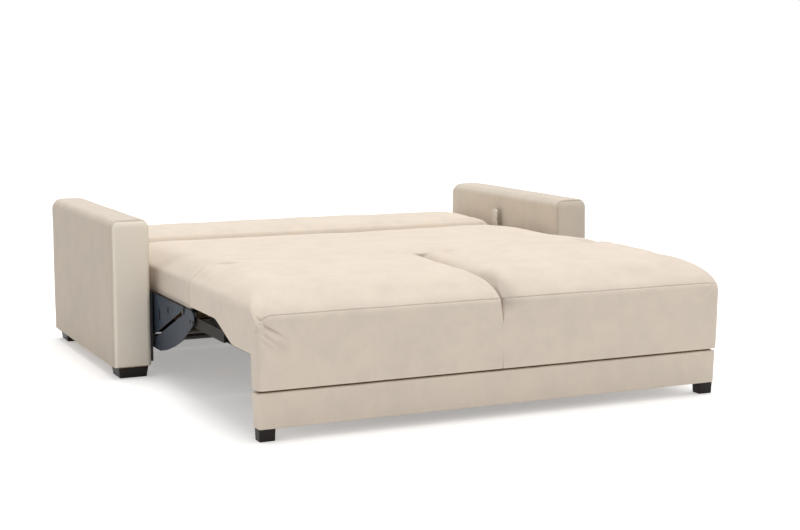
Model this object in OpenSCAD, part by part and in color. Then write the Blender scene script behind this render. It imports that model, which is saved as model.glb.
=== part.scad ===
// Sofa bed, opened flat: two box arms, a seat on a pull-out carriage, a back section
// that rides in slotted side plates and a head section that folds onto it.
// X is across the sofa, Y runs from the foot end to the rear, Z is up.

/* [Arms] */
// Height of the arms above the floor
arm_h = 600; // [520:5:680]
// Width of one arm
arm_w = 140; // [100:2:200]
// Depth of the arms from front to rear
arm_d = 980; // [960:5:1060]
// Clear width between the arms
inner_w = 1770; // [1400:10:2100]
// Rounding of the arm covers' edges
arm_round = 18; // [8:1:30]
// Padding and cloth over the arm carcass
cover_t = 12; // [6:1:16]
// Height of the feet
foot_h = 40; // [25:1:60]
// Width of one arm foot at its top
foot_w = 115; // [80:1:130]
// How far a foot tapers in on each side
foot_taper = 12; // [0:1:25]
// How far a foot stands in from the end of the arm
foot_in = 10; // [5:1:60]

/* [Rear panel] */
// Thickness of the rear panel
rear_t = 32; // [26:1:45]
// Thickness of the boards behind the covers
board_t = 15; // [10:1:20]

/* [Seat] */
// How far the opened seat reaches in front of the arms
seat_reach = 1145; // [1100:5:1200]
// Depth of the seat section
seat_d = 700; // [660:5:730]
// Gap between the seat and each arm
seat_gap = 10; // [9:0.5:16]
// Height of the underside of the seat at its rear
seat_under = 334; // [332:1:350]
// Height of the lower edge of the side panels near the front
side_low = 283; // [240:1:300]
// Height of the seat deck that the cushions lie on
deck_z = 360; // [355:1:375]
// Height of the cushions' seam above the deck
seat_seam = 44; // [30:1:60]
// Height of the cushions' top above the seam
seat_rise = 58; // [30:1:70]
// Extra height in the middle of a seat cushion
seat_crown = 8; // [0:1:15]
// Length of the rounded fall at the front of a seat cushion
seat_fall = 210; // [60:5:260]
// Gap between the two seat cushions
split_gap = 4; // [2:0.5:10]
// Thickness of the front panel
front_t = 60; // [45:1:80]
// Thickness of the upholstered side panels
side_t = 15; // [10:1:15]
// Height of the plinth under the front border
plinth_h = 117; // [80:1:130]
// Height of the shadow groove between plinth and border
groove_h = 15; // [6:1:25]
// How far the plinth stands back from the border
plinth_in = 7; // [2:1:12]
// Width of a seat foot
seat_foot_w = 55; // [40:1:80]

/* [Back and head sections] */
// Depth of the back section
back_d = 935; // [900:5:950]
// Gap between the seat's rear and the back section
back_gap = 10; // [10:0.5:14]
// Gap between the back section and the head section
head_gap = 10; // [8:0.5:14]
// Depth of the head section
head_d = 465; // [440:5:469]
// Gap between these sections and each arm
pad_gap = 27; // [26.5:0.5:40]
// Height of the underside of the back section
back_under = 325; // [322:0.5:327]
// Height of the top of the back section at its edges
back_edge = 450; // [440:1:455]
// Extra height in the middle of the back section
back_crown = 14; // [4:1:20]
// Height of the underside of the head section
head_under = 300; // [300:0.5:312]
// Height of the top of the head section at its edges
head_edge = 470; // [440:1:480]
// Extra height in the middle of the head section
head_crown = 14; // [4:1:20]
// Wall of the padding round the wooden frames
skirt_t = 16; // [10:1:24]

/* [Wooden frames] */
// Thickness of the frame rails
rail_t = 22; // [16:1:26]
// Height of the back and head frames' rails
rail_h = 38; // [25:1:45]
// Thickness of the slats
slat_t = 8; // [5:1:12]
// Thickness of the boards under the back and head frames
base_t = 3; // [2:0.5:3]
// Width of the slats
slat_w = 60; // [40:1:80]
// Number of slats in the back section
back_slats_n = 8; // [4:1:10]
// Number of slats in the head section
head_slats_n = 4; // [2:1:5]
// Thickness of the seat webbing
web_t = 2; // [1:0.5:3]
// Width of the seat webbing
web_w = 60; // [40:1:80]
// Number of webbing straps in the seat
web_n = 14; // [6:1:18]

/* [Mechanism] */
// Thickness of the side plates
plate_t = 4; // [3:0.5:5]
// Gap between a side plate and the back section
plate_gap = 6; // [5:0.5:7]
// Height of the side plates' top
plate_top = 318; // [314:1:320]
// Height of the side plates' lowest edge
plate_low = 107; // [90:1:125]
// How far the side plates reach in front of the pivot shaft
plate_front = 126; // [118:1:134]
// How far the side plates reach behind the arms' front, at least
plate_back = 135; // [125:1:145]
// How far the side plates reach past the rear end of their slots, at least
plate_past = 65; // [62:1:80]
// Width of the slots in the side plates
slot_w = 16; // [14.6:0.2:18]
// Diameter of the pivot shaft
shaft_d = 12; // [8:0.5:12]
// Running clearance of pins and bushes
pin_play = 0.3; // [0.2:0.05:0.5]
// Height of the pivot shaft with the bed open
pivot_z = 300; // [298:0.5:304]
// Distance of the pivot shaft from the back section's front edge
pivot_in = 83; // [80:0.5:86]
// Travel of the shaft along Y in the slots
slot_run = 400; // [380:1:405]
// Drop of the shaft along the slots
slot_drop = 158; // [150:1:165]
// Diameter of the cross tubes
tube_d = 25; // [16:0.5:25]
// Wall of the cross tubes
tube_wall = 2; // [1:0.1:4]
// Length of the slide rails
rail_len = 365; // [300:5:380]
// Height of the slide rails
slide_h = 40; // [30:1:44]
// Thickness of the slide rails
slide_t = 6; // [3:0.5:6]
// Depth of the runners on the arms
runner_d = 10.5; // [8:0.5:10.5]
// Height of the runners
runner_h = 40; // [30:1:50]
// Wall of the runners and seat channels
channel_wall = 2; // [1.5:0.1:3]
// Length of a sliding block in the seat channels
block_len = 60; // [40:1:70]
// Distance between the two sliding blocks of a rail
block_pitch = 90; // [75:1:110]
// Length of a glide shoe in the runners
shoe_len = 28; // [20:1:30]
// Diameter of the pivot brackets round the shaft
bracket_d = 40; // [30:1:44]
// Thickness of the pivot brackets
bracket_t = 5; // [3:0.5:6]
// Width of the guide posts at the arms' front
post_w = 48; // [30:1:50]
// Thickness of the guide posts
post_t = 8; // [4:0.5:8]

/* [Head hinges] */
// Height of the head hinge's axis
hinge_z = 496; // [494:1:505]
// Radius of the hinge leaves round the pin
leaf_r = 26; // [16:1:28]
// Thickness of a hinge leaf
leaf_t = 3; // [2:0.1:3.5]
// Width of the back section's hinge leaf
back_leaf_w = 34; // [26:1:38]
// Width of the head section's hinge leaf
head_leaf_w = 26; // [20:1:30]
// Distance from the hinge axis forward to the back leaf's foot
back_leaf_reach = 38; // [34:1:46]
// Distance from the hinge axis rearward to the head leaf's foot
head_leaf_reach = 75; // [60:1:90]
// Diameter of the hinge pins
hinge_pin_d = 10; // [6:0.5:14]

/* [Hidden] */
$fn = 48;
cream = [0.87, 0.82, 0.75];
cream_light = [0.93, 0.88, 0.82];
beech = [0.78, 0.62, 0.42];
pine = [0.82, 0.68, 0.48];
plate_blue = [0.28, 0.31, 0.36];
steel_dark = [0.2, 0.19, 0.19];
steel = [0.62, 0.63, 0.65];
nylon = [0.12, 0.12, 0.13];
foot_brown = [0.14, 0.11, 0.1];
// Faces of neighbouring soft pieces stay this far apart
soft_gap = 0.3;
// Play of pins and bolts that stay fixed in their holes
fixed_play = 0.1;
// Glue line where the end of one wooden rail meets another
glue_line = 0.1;
// Places of the two bolts of a hinge leaf, along Y from the middle of its foot
leaf_bolts = [-10, 10];
// Arms
arm_y = (seat_reach - arm_d) / 2;
arm_end = arm_y + arm_d;
xi = inner_w / 2;
rear_top = head_under - soft_gap;
// Seat outline
seat_y0 = arm_y - seat_reach;
seat_y1 = seat_y0 + seat_d;
xs = xi - seat_gap;
panel_y1 = seat_y0 + front_t;
board_y0 = panel_y1 - board_t;
border_z0 = foot_h + plinth_h + groove_h;
// Lower edge of the side panels: high at the rear, then a slope, then low to the front
slope_rear = seat_y0 + 0.59 * seat_d;
slope_front = slope_rear - (seat_under - side_low) * 2.67;
// Back and head outlines
xb = xi - pad_gap;
back_y0 = seat_y1 + back_gap;
back_y1 = back_y0 + back_d;
head_y0 = back_y1 + head_gap;
head_y1 = head_y0 + head_d;
hinge_y = (back_y1 + head_y0) / 2;
frame_x = xb - skirt_t;
// Pivot and slot
pivot_y = back_y0 + pivot_in;
slot_end_y = pivot_y + slot_run;
slot_end_z = pivot_z - slot_drop;
// Side plates and rails
xp = xb + plate_gap;
xp_out = xp + plate_t;
plate_y0 = pivot_y - plate_front;
plate_y1 = max(arm_y + plate_back, slot_end_y + plate_past);
shaft_end = xp_out + 3.3;
slide_x1 = xp - 7;
slide_x0 = slide_x1 - slide_t;
slide_y1 = back_y0 + 30;
slide_y0 = slide_y1 - rail_len;
slide_z1 = side_low + 14;
slide_z0 = slide_z1 - slide_h;
// Seat channel and its sliding block
block_w = 32;
block_h = slide_h - 10;
block_z0 = slide_z0 + 5;
channel_x1 = slide_x0 - 1;
channel_x0 = slide_x0 - block_w - channel_wall - pin_play;
// Runner and shoes on the arms
runner_z0 = pivot_z - 3 * runner_h;
shoe_gap = 6;
shoe_y0 = arm_y + plate_back - 2 * shoe_len - shoe_gap - 3;
runner_y0 = shoe_y0 - shoe_gap;
runner_y1 = arm_end - rear_t - 10;

// Mirrored copy for one side: -1 is the left, 1 is the right
module side(s) {
    mirror([s < 0 ? 1 : 0, 0, 0]) children();
}

// Both sides of the sofa
module both() {
    side(-1) children();
    side(1) children();
}

// Block between two corners
module block(a, b) {
    translate(a) cube(b - a);
}

// Bar across the sofa along X
module cross_bar(y, z, d, half) {
    translate([-half, y, z]) rotate([0, 90, 0]) cylinder(d = d, h = 2 * half);
}

// Pin along X from x0 to x1 on the right-hand side
module pin(x0, x1, y, z, d) {
    translate([x0, y, z]) rotate([0, 90, 0]) cylinder(d = d, h = x1 - x0);
}

// Sheet standing in the Y-Z plane, given as points [y, z], from x0 to x1
module upright(x0, x1) {
    translate([x0, 0, 0]) rotate([90, 0, 90]) linear_extrude(x1 - x0) children();
}

// Straight slot with round ends between two points of a plane
module slot_2d(a, b, w) {
    turn = atan2(b.y - a.y, b.x - a.x);
    steps = 16;
    half_turn = [for (i = [0:steps]) 90 + 180 * i / steps];
    polygon([for (end = [[a, 0], [b, 180]]) for (g = half_turn)
        end[0] + w / 2 * [cos(g + turn + end[1]), sin(g + turn + end[1])]]);
}

// Rounded rectangle as points. in = [side, front, rear] insets
function ring(w, d, r, in, n) = [for (i = [0:4 * n - 1])
    let (q = floor(i / n),
        a = 90 * q + 90 * (i % n) / (n - 1),
        hx = w / 2 - in[0],
        hy = (d - in[1] - in[2]) / 2,
        rr = max(min(r, hx - 1, hy - 1), 1),
        cx = (q == 0 || q == 3) ? hx - rr : rr - hx,
        cy = (q < 2) ? hy - rr : rr - hy,
        x = cx + rr * cos(a),
        y = cy + rr * sin(a))
    [x, y + (in[1] - in[2]) / 2]];

// The straight sides of a ring are filled with extra points, so that they can curve
function fill_ring(p, k) = [for (i = [0:len(p) - 1]) each
    let (a = p[i], b = p[(i + 1) % len(p)], far = norm(b - a) > 60)
    far ? [for (j = [0:k - 1]) a + (b - a) * j / k] : [a]];

// Sides drawn in between the corners, worked out after the filling
function draw_in(p, hx, hy, cy, pull) = [for (q = p)
    let (u = q.x / hx, v = (q.y - cy) / hy)
    abs(u) > abs(v) ? [q.x - sign(u) * pull * (1 - v * v), q.y]
        : [q.x, q.y - sign(v) * pull * (1 - u * u)]];

// Closed cushion as stacked rings: a flat base, upright sides and a rounded, crowned top.
// fall = [side, front, rear] widths of the rounded edges of the top
module cushion(w, d, r, z0, z_seam, z_edge, crown, fall, pull) {
    n = 5;
    k = 7;
    steps = 5;
    inner = [0.3, 0.62];
    base = [[[5, 5, 5], z0, r - 4], [[0, 0, 0], z0 + 8, r], [[-0.01, -0.01, -0.01], z_seam - 7, r],
        [[1.5, 1.5, 1.5], z_seam, r]];
    dome = [for (i = [1:steps]) let (a = 90 * i / steps)
        [fall * (1 - cos(a)), z_seam + (z_edge - z_seam) * sin(a), r * (1 - 0.1 * i)]];
    top = [for (t = inner)
        [fall + [(w / 2 - fall[0]) * t, (d - fall[1] - fall[2]) / 2 * t,
            (d - fall[1] - fall[2]) / 2 * t], z_edge + crown * (1 - pow(1 - t, 2)), r * 0.5]];
    levels = concat(base, dome, top);
    rings = [for (l = levels)
        let (in = l[0], hy = (d - in[1] - in[2]) / 2, cy = (in[1] - in[2]) / 2)
        draw_in(fill_ring(ring(w, d, l[2], in, n), k), w / 2 - in[0], hy, cy, pull)];
    m = len(rings[0]);
    count = len(rings);
    cy_top = (fall[1] - fall[2]) / 2;
    points = concat([for (i = [0:count - 1]) for (q = rings[i]) [q.x, q.y, levels[i][1]]],
        [[0, 0, z0], [0, cy_top, z_edge + crown]]);
    sides = [for (i = [0:count - 2]) for (j = [0:m - 1]) each
        let (a = i * m + j, b = i * m + (j + 1) % m, c = a + m, e = b + m)
        [[a, c, b], [b, c, e]]];
    bottom = [for (j = [0:m - 1]) [count * m, j, (j + 1) % m]];
    lid = [for (j = [0:m - 1]) let (a = (count - 1) * m)
        [a + j, count * m + 1, a + (j + 1) % m]];
    polyhedron(points, concat(sides, bottom, lid));
}

// Frame of separate rails in the X-Y plane: two side rails, two end rails, a middle rail
module ladder(x, y0, y1, z0, z1) {
    inner = x - rail_t - glue_line;
    end_rail = rail_t + glue_line;
    both() block([x - rail_t, y0, z0], [x, y1, z1]);
    for (y = [y0, y1 - rail_t]) block([-inner, y, z0], [inner, y + rail_t, z1]);
    block([-rail_t / 2, y0 + end_rail, z0], [rail_t / 2, y1 - end_rail, z1]);
}

// Thin board that closes the underside of such a frame
module base_board(y0, y1, z1) {
    block([soft_gap - frame_x, y0 + skirt_t + soft_gap, z1 - base_t],
        [frame_x - soft_gap, y1 - skirt_t - soft_gap, z1]);
}

// Slats across a frame, evenly spaced from y0 to y1
module slats(n, x, y0, y1, z) {
    pitch = (y1 - y0 - slat_w) / (n - 1);
    for (i = [0:n - 1]) block([-x, y0 + i * pitch, z], [x, y0 + i * pitch + slat_w, z + slat_t]);
}

// Padded cover of one arm, hollow inside and open under the carcass
module arm_cover(s) {
    color(cream) side(s) difference() {
        hull() for (x = [xi + arm_round, xi + arm_w - arm_round])
            for (y = [arm_y + arm_round, arm_end - arm_round])
                for (z = [foot_h + arm_round, arm_h - arm_round])
                    translate([x, y, z]) sphere(arm_round, $fn = 24);
        block([xi + cover_t, arm_y + cover_t, foot_h - 1],
            [xi + arm_w - cover_t, arm_end - cover_t, arm_h - cover_t]);
    }
}

// Wooden carcass of one arm: front and rear posts, top and bottom rails, middle post
module arm_carcass(s) {
    x0 = xi + cover_t;
    x1 = xi + arm_w - cover_t;
    y0 = arm_y + cover_t;
    y1 = arm_end - cover_t;
    z1 = arm_h - cover_t;
    pitch = (y1 - y0 - rail_t) / 2;
    color(pine) side(s) {
        for (z = [foot_h, z1 - rail_t]) block([x0, y0, z], [x1, y1, z + rail_t]);
        for (i = [0:2]) block([x0, y0 + i * pitch, foot_h + rail_t],
            [x1, y0 + i * pitch + rail_t, z1 - rail_t]);
    }
}

// Tapered block feet under both arms, front and rear
module arm_feet() {
    xc = xi + arm_w / 2;
    reach = foot_in + foot_w / 2;
    color(foot_brown) both() for (y = [arm_y + reach, arm_end - reach])
        translate([xc, y, 0]) hull() {
            translate([-foot_w / 2, -foot_w / 2, foot_h - 1]) cube([foot_w, foot_w, 1]);
            translate([foot_taper - foot_w / 2, foot_taper - foot_w / 2, 0])
                cube([foot_w - 2 * foot_taper, foot_w - 2 * foot_taper, 1]);
        }
}

// Padded cover of the rear panel, with a pocket for its board
module rear_panel_cover() {
    color(cream) difference() {
        block([-xi, arm_end - rear_t, foot_h], [xi, arm_end, rear_top]);
        rear_board_block();
    }
}

module rear_board_block() {
    block([-xi + cover_t, arm_end - rear_t, foot_h + cover_t],
        [xi - cover_t, arm_end - rear_t + board_t, rear_top - cover_t]);
}

module rear_panel_board() {
    color(pine) rear_board_block();
}

// Channel on an arm's inner face, open towards the side plate
module runner(s) {
    z1 = runner_z0 + runner_h;
    color(steel) side(s) difference() {
        block([xi - runner_d, runner_y0, runner_z0], [xi, runner_y1, z1]);
        block([xi - runner_d - 1, runner_y0 - 1, runner_z0 + channel_wall],
            [xi - channel_wall, runner_y1 + 1, z1 - channel_wall]);
    }
}

// Black guide posts at the front of the arms' inner faces
module guide_posts() {
    color(nylon) both() block([xi - post_t, arm_y + arm_round - 6, foot_h + arm_round],
        [xi, arm_y + arm_round - 6 + post_w, plate_top + 10]);
}

// Outline of a side plate as points [y, z]
module plate_outline() {
    polygon([[plate_y1, plate_top], [plate_y0 + 28, plate_top], [plate_y0 + 8, plate_top - 8],
        [plate_y0, plate_top - 22], [plate_y0 + 4, plate_top - 42],
        [plate_y0 + 46, pivot_z - 50], [pivot_y + 20, slot_end_z + 50],
        [pivot_y + 117, slot_end_z + 13], [pivot_y + 215, plate_low + 18],
        [pivot_y + 300, plate_low], [plate_y1, plate_low]]);
}

// Slotted side plate of the carriage
module side_plate(s) {
    start = [pivot_y, pivot_z];
    last = [slot_end_y, slot_end_z];
    hook = [pivot_y - 13, pivot_z + 11];
    color(plate_blue) side(s) upright(xp, xp_out) difference() {
        plate_outline();
        slot_2d(start, last, slot_w);
        slot_2d(start, hook, slot_w - hook_step);
        slot_2d(hook, hook + [20, 30], slot_w - 2 * hook_step);
        for (hole = plate_holes)
            slot_2d([pivot_y + hole[0], hole[1]], [pivot_y + hole[0], hole[2]], plate_hole_w);
        translate([bolt_ys()[0], bolt_z()]) circle(d = bolt_d() + pin_play);
        translate([bolt_ys()[1], bolt_z()]) circle(d = bolt_d() + pin_play);
    }
}

// Upright lightening holes of a side plate: distance behind the shaft, lower end, upper end
plate_holes = [[304, pivot_z - 70, pivot_z - 38], [190, pivot_z - 27, pivot_z - 14]];
plate_hole_w = 12;

// Places and size of the bolts that hold a slide rail to its plate
function bolt_ys() = [plate_y0 + 16, slide_y1 - 22];
function bolt_z() = (slide_z0 + slide_z1) / 2;
function bolt_d() = 8;

// Hollow tube across the carriage between the side plates
module cross_tube(y, z) {
    difference() {
        cross_bar(y, z, tube_d, xp);
        cross_bar(y, z, tube_d - 2 * tube_wall, xp + 1);
    }
}

// Each stretch of the slots' upper hook is this much narrower than the one before
hook_step = 1.6;
front_tube = [pivot_y + 40, pivot_z - 96];
middle_tube = [pivot_y - 8, pivot_z - 66];
rear_tube = [slot_end_y + 47, slot_end_z - 8];

module front_cross_tube() {
    color(steel_dark) cross_tube(front_tube.x, front_tube.y);
}

module middle_cross_tube() {
    color([0.32, 0.26, 0.21]) cross_tube(middle_tube.x, middle_tube.y);
}

module rear_cross_tube() {
    color(steel_dark) cross_tube(rear_tube.x, rear_tube.y);
}

// Flat slide rail that reaches forward under the seat
module slide_rail(s) {
    color([0.27, 0.2, 0.16]) side(s) difference() {
        block([slide_x0, slide_y0, slide_z0], [slide_x1, slide_y1, slide_z1]);
        for (y = bolt_ys()) pin(slide_x0 - 1, slide_x1 + 1, y, bolt_z(), bolt_d() + pin_play);
    }
}

// Nylon shoes on the side plates, sliding in the runners
module glide_shoes() {
    x1 = xi - channel_wall - pin_play;
    z0 = runner_z0 + channel_wall + pin_play;
    z1 = runner_z0 + runner_h - channel_wall - pin_play;
    color(nylon) both() for (i = [0, 1])
        block([xp_out, shoe_y0 + i * (shoe_len + shoe_gap), z0],
            [x1, shoe_y0 + i * (shoe_len + shoe_gap) + shoe_len, z1]);
}

// Nylon blocks on the front ends of the slide rails, sliding in the seat channels
module slider_blocks() {
    color(nylon) both() for (y = [slide_y0 + 4, slide_y0 + 4 + block_pitch])
        block([slide_x0 - block_w, y, block_z0], [slide_x0, y + block_len, block_z0 + block_h]);
}

// Bolts and spacers that hold the slide rails to the side plates
module rail_bolts() {
    color(steel) both() for (y = bolt_ys()) {
        pin(slide_x0 - 4, xp_out + 3, y, bolt_z(), bolt_d());
        pin(slide_x1, xp, y, bolt_z(), 16);
        pin(xp_out, xp_out + 3, y, bolt_z(), 14);
        pin(slide_x0 - 4, slide_x0, y, bolt_z(), 14);
    }
}

// Shaft across the back section, running in both slots
module pivot_shaft() {
    color(steel) cross_bar(pivot_y, pivot_z, shaft_d, shaft_end);
}

// Nylon bushes on the shaft inside the slots
module slot_bushes() {
    color(nylon) both() difference() {
        pin(xp - 3, xp_out + 1, pivot_y, pivot_z, slot_w - 2 * pin_play);
        pin(xp - 4, xp_out + 2, pivot_y, pivot_z, shaft_d + fixed_play);
    }
}

// Clips that keep the bushes on the shaft
module shaft_clips() {
    color(steel) both() difference() {
        pin(xp_out + 1, shaft_end, pivot_y, pivot_z, slot_w + 4);
        pin(xp_out, shaft_end + 1, pivot_y, pivot_z, shaft_d + fixed_play);
    }
}

// Space that a wooden frame and its slats take inside a pad
module frame_space(y0, y1, z0, z1) {
    block([-frame_x, y0 + skirt_t, z0 - 1], [frame_x, y1 - skirt_t, z1]);
}

// The wooden frames stand this far above the padding's lower edge
frame_up = 7;
back_deck = back_under + frame_up + rail_h + slat_t;
head_deck = head_under + frame_up + rail_h + slat_t;

// Holes through the padding's sides for the leaf bolts
module skirt_holes(foot) {
    both() for (dy = leaf_bolts)
        pin(frame_x - 1, xb + 1, foot.x + dy, foot.y, leaf_bolt_d + pin_play);
}

// Padding and cover of the back section
module back_pad() {
    mid = (back_y0 + back_y1) / 2;
    color(cream_light) difference() {
        translate([0, mid, 0]) cushion(2 * xb, back_d, 22, back_under, back_edge - 46, back_edge,
            back_crown, [60, 60, 34], 3);
        frame_space(back_y0, back_y1, back_under, back_deck + soft_gap);
        skirt_holes(back_foot);
    }
}

// Wooden frame inside the back section
module back_frame() {
    z0 = back_under + frame_up;
    color(pine) ladder(frame_x - soft_gap, back_y0 + skirt_t + soft_gap,
        back_y1 - skirt_t - soft_gap, z0, z0 + rail_h);
}

module back_base_board() {
    color(beech) base_board(back_y0, back_y1, back_under + frame_up);
}

module back_slats() {
    color(beech) slats(back_slats_n, frame_x - 4, back_y0 + skirt_t + 10,
        back_y1 - skirt_t - 10, back_deck - slat_t);
}

// Brackets that hang the back frame on the pivot shaft
module pivot_brackets() {
    x0 = frame_x - rail_t + 2;
    x1 = x0 + bracket_t;
    half = bracket_d / 2;
    top = back_under + frame_up - base_t;
    color(steel_dark) both() difference() {
        union() {
            block([x0, pivot_y - half, pivot_z], [x1, pivot_y + half, top]);
            pin(x0, x1, pivot_y, pivot_z, bracket_d);
            block([x0 - 1.5 * half, pivot_y - 1.2 * half, top - leaf_t],
                [x0 + 0.9 * half, pivot_y + 1.2 * half, top]);
        }
        pin(x0 - 1, x1 + 1, pivot_y, pivot_z, shaft_d + pin_play);
    }
}

// Upright strap of a hinge leaf from its pin down to a foot at [y, z], as a flat plate
module leaf_2d(foot, w) {
    slot_2d([hinge_y, hinge_z], foot, w);
    translate([hinge_y, hinge_z]) circle(r = leaf_r);
    translate(foot) circle(d = w + 6);
}

leaf_x0 = xb + soft_gap;
leaf_x1 = leaf_x0 + leaf_t;
head_leaf_x1 = leaf_x1 + soft_gap + leaf_t;
back_foot = [hinge_y - back_leaf_reach, back_under + frame_up + rail_h / 2];
head_foot = [hinge_y + head_leaf_reach, head_under + frame_up + rail_h / 2];
leaf_bolt_d = 6;

// Hinge leaves on the sides of the back section
module back_hinge_leaves() {
    color(steel) both() upright(leaf_x0, leaf_x1) difference() {
        leaf_2d(back_foot, back_leaf_w);
        translate([hinge_y, hinge_z]) circle(d = hinge_pin_d + fixed_play);
        for (dy = leaf_bolts) translate(back_foot + [dy, 0]) circle(d = leaf_bolt_d + fixed_play);
    }
}

// Bolts that hold those leaves to the wooden frame
module back_hinge_bolts() {
    color(steel_dark) both() for (dy = leaf_bolts) translate([0, dy, 0]) {
        pin(frame_x, leaf_x1, back_foot.x, back_foot.y, leaf_bolt_d);
        pin(leaf_x1, leaf_x1 + 2, back_foot.x, back_foot.y, leaf_bolt_d + 5);
    }
}

// Pins fixed in the back leaves, with a head outside the head leaves
module head_hinge_pins() {
    color(steel_dark) both() {
        pin(leaf_x0, head_leaf_x1 + soft_gap, hinge_y, hinge_z, hinge_pin_d);
        pin(head_leaf_x1 + soft_gap, head_leaf_x1 + 2, hinge_y, hinge_z, hinge_pin_d + 6);
    }
}

// Padding and cover of the head section
module head_pad() {
    mid = (head_y0 + head_y1) / 2;
    color(cream_light) difference() {
        translate([0, mid, 0]) cushion(2 * xb, head_d, 22, head_under, head_edge - 70, head_edge,
            head_crown, [56, 62, 60], 3);
        frame_space(head_y0, head_y1, head_under, head_deck + soft_gap);
        skirt_holes(head_foot);
    }
}

// Wooden frame inside the head section
module head_frame() {
    z0 = head_under + frame_up;
    color(pine) ladder(frame_x - soft_gap, head_y0 + skirt_t + soft_gap,
        head_y1 - skirt_t - soft_gap, z0, z0 + rail_h);
}

module head_base_board() {
    color(beech) base_board(head_y0, head_y1, head_under + frame_up);
}

module head_slats() {
    color(beech) slats(head_slats_n, frame_x - 4, head_y0 + skirt_t + 10,
        head_y1 - skirt_t - 10, head_deck - slat_t);
}

// Hinge leaves on the sides of the head section
module head_hinge_leaves() {
    color(steel) both() upright(leaf_x1 + soft_gap, head_leaf_x1) difference() {
        leaf_2d(head_foot, head_leaf_w);
        translate([hinge_y, hinge_z]) circle(d = hinge_pin_d + pin_play);
        for (dy = leaf_bolts) translate(head_foot + [dy, 0]) circle(d = leaf_bolt_d + fixed_play);
    }
}

// Bolts with spacers that hold those leaves to the wooden frame
module head_hinge_bolts() {
    color(steel_dark) both() for (dy = leaf_bolts) translate([0, dy, 0]) {
        pin(frame_x, head_leaf_x1, head_foot.x, head_foot.y, leaf_bolt_d);
        pin(head_leaf_x1, head_leaf_x1 + 2, head_foot.x, head_foot.y, leaf_bolt_d + 5);
        pin(xb, leaf_x1 + soft_gap, head_foot.x, head_foot.y, leaf_bolt_d + 4);
    }
}

// One seat cushion with its waterfall front
module seat_cushion(s) {
    w = xs - split_gap / 2;
    z_seam = deck_z + seat_seam;
    color(cream_light) side(s) translate([split_gap / 2 + w / 2, (seat_y0 + seat_y1) / 2, 0])
        cushion(w, seat_d, 16, deck_z, z_seam, z_seam + seat_rise, seat_crown,
            [46, seat_fall, 40], 2);
}

// Upholstered side of the seat, deeper towards the front
module seat_side(s) {
    rear = seat_y1 - 4;
    color(cream) side(s) upright(xs - side_t, xs)
        polygon([[panel_y1, side_low], [slope_front, side_low], [slope_rear, seat_under],
            [rear, seat_under], [rear, deck_z - soft_gap], [panel_y1, deck_z - soft_gap]]);
}

// Space of the board inside the front panel
module front_board_block(play) {
    block([-xs + side_t - play, board_y0 - play, foot_h - 1 + board_t],
        [xs - side_t + play, panel_y1 + 1, deck_z - board_t + play]);
}

// Tall padded border across the seat's front
module seat_front_border() {
    color(cream) difference() {
        block([-xs, seat_y0, border_z0], [xs, panel_y1, deck_z - soft_gap]);
        front_board_block(0);
    }
}

// Plinth below the border, set back a little
module seat_plinth() {
    color(cream) difference() {
        block([-xs, seat_y0 + plinth_in, foot_h], [xs, panel_y1, foot_h + plinth_h]);
        front_board_block(0);
    }
}

// Board behind border and plinth
module seat_front_board() {
    color(pine) intersection() {
        front_board_block(0);
        block([-xs, seat_y0, 0], [xs, panel_y1, arm_h]);
    }
}

// Wooden seat frame: tall side rails and front rail, shallow middle and rear rails
module seat_frame() {
    x1 = channel_x0;
    x0 = x1 - rail_t;
    inner = x0 - glue_line;
    end_rail = rail_t + glue_line;
    y0 = panel_y1;
    y1 = seat_y1 - 30;
    top = deck_z - web_t;
    low = slide_z1 + 4;
    color(pine) {
        both() block([x0, y0, low], [x1, y1, top]);
        block([-inner, y0, low], [inner, y0 + rail_t, top]);
        block([-inner, y1 - rail_t, seat_under + 4], [inner, y1, top]);
        block([-rail_t / 2, y0 + end_rail, seat_under + 4], [rail_t / 2, y1 - end_rail, top]);
    }
}

// Elastic straps from the front rail to the rear rail
module seat_webbing() {
    x1 = channel_x0 - 10;
    y0 = panel_y1 + 2;
    y1 = seat_y1 - 32;
    pitch = (2 * x1 - web_w) / (web_n - 1);
    color([0.2, 0.2, 0.21]) for (i = [0:web_n - 1])
        block([i * pitch - x1, y0, deck_z - web_t], [i * pitch - x1 + web_w, y1, deck_z]);
}

// Channel under the seat that the sliding blocks run in
module seat_channel(s) {
    z0 = block_z0 - pin_play - channel_wall;
    z1 = block_z0 + block_h + pin_play + channel_wall;
    y0 = panel_y1 + 8;
    y1 = seat_y1 - 55;
    color(steel_dark) side(s) difference() {
        union() {
            block([channel_x0, y0, z0], [channel_x1, y1, z1]);
            block([channel_x0, y0, z0], [channel_x0 + channel_wall, y1, deck_z - 16]);
        }
        block([channel_x0 + channel_wall, y0 - 1, z0 + channel_wall],
            [channel_x1 + 1, y1 + 1, z1 - channel_wall]);
    }
}

// Block feet under the plinth
module seat_feet() {
    color(foot_brown) both() block([xs - 8 - seat_foot_w, seat_y0 + plinth_in + 3, 0],
        [xs - 8, panel_y1 - 4, foot_h]);
}

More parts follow.
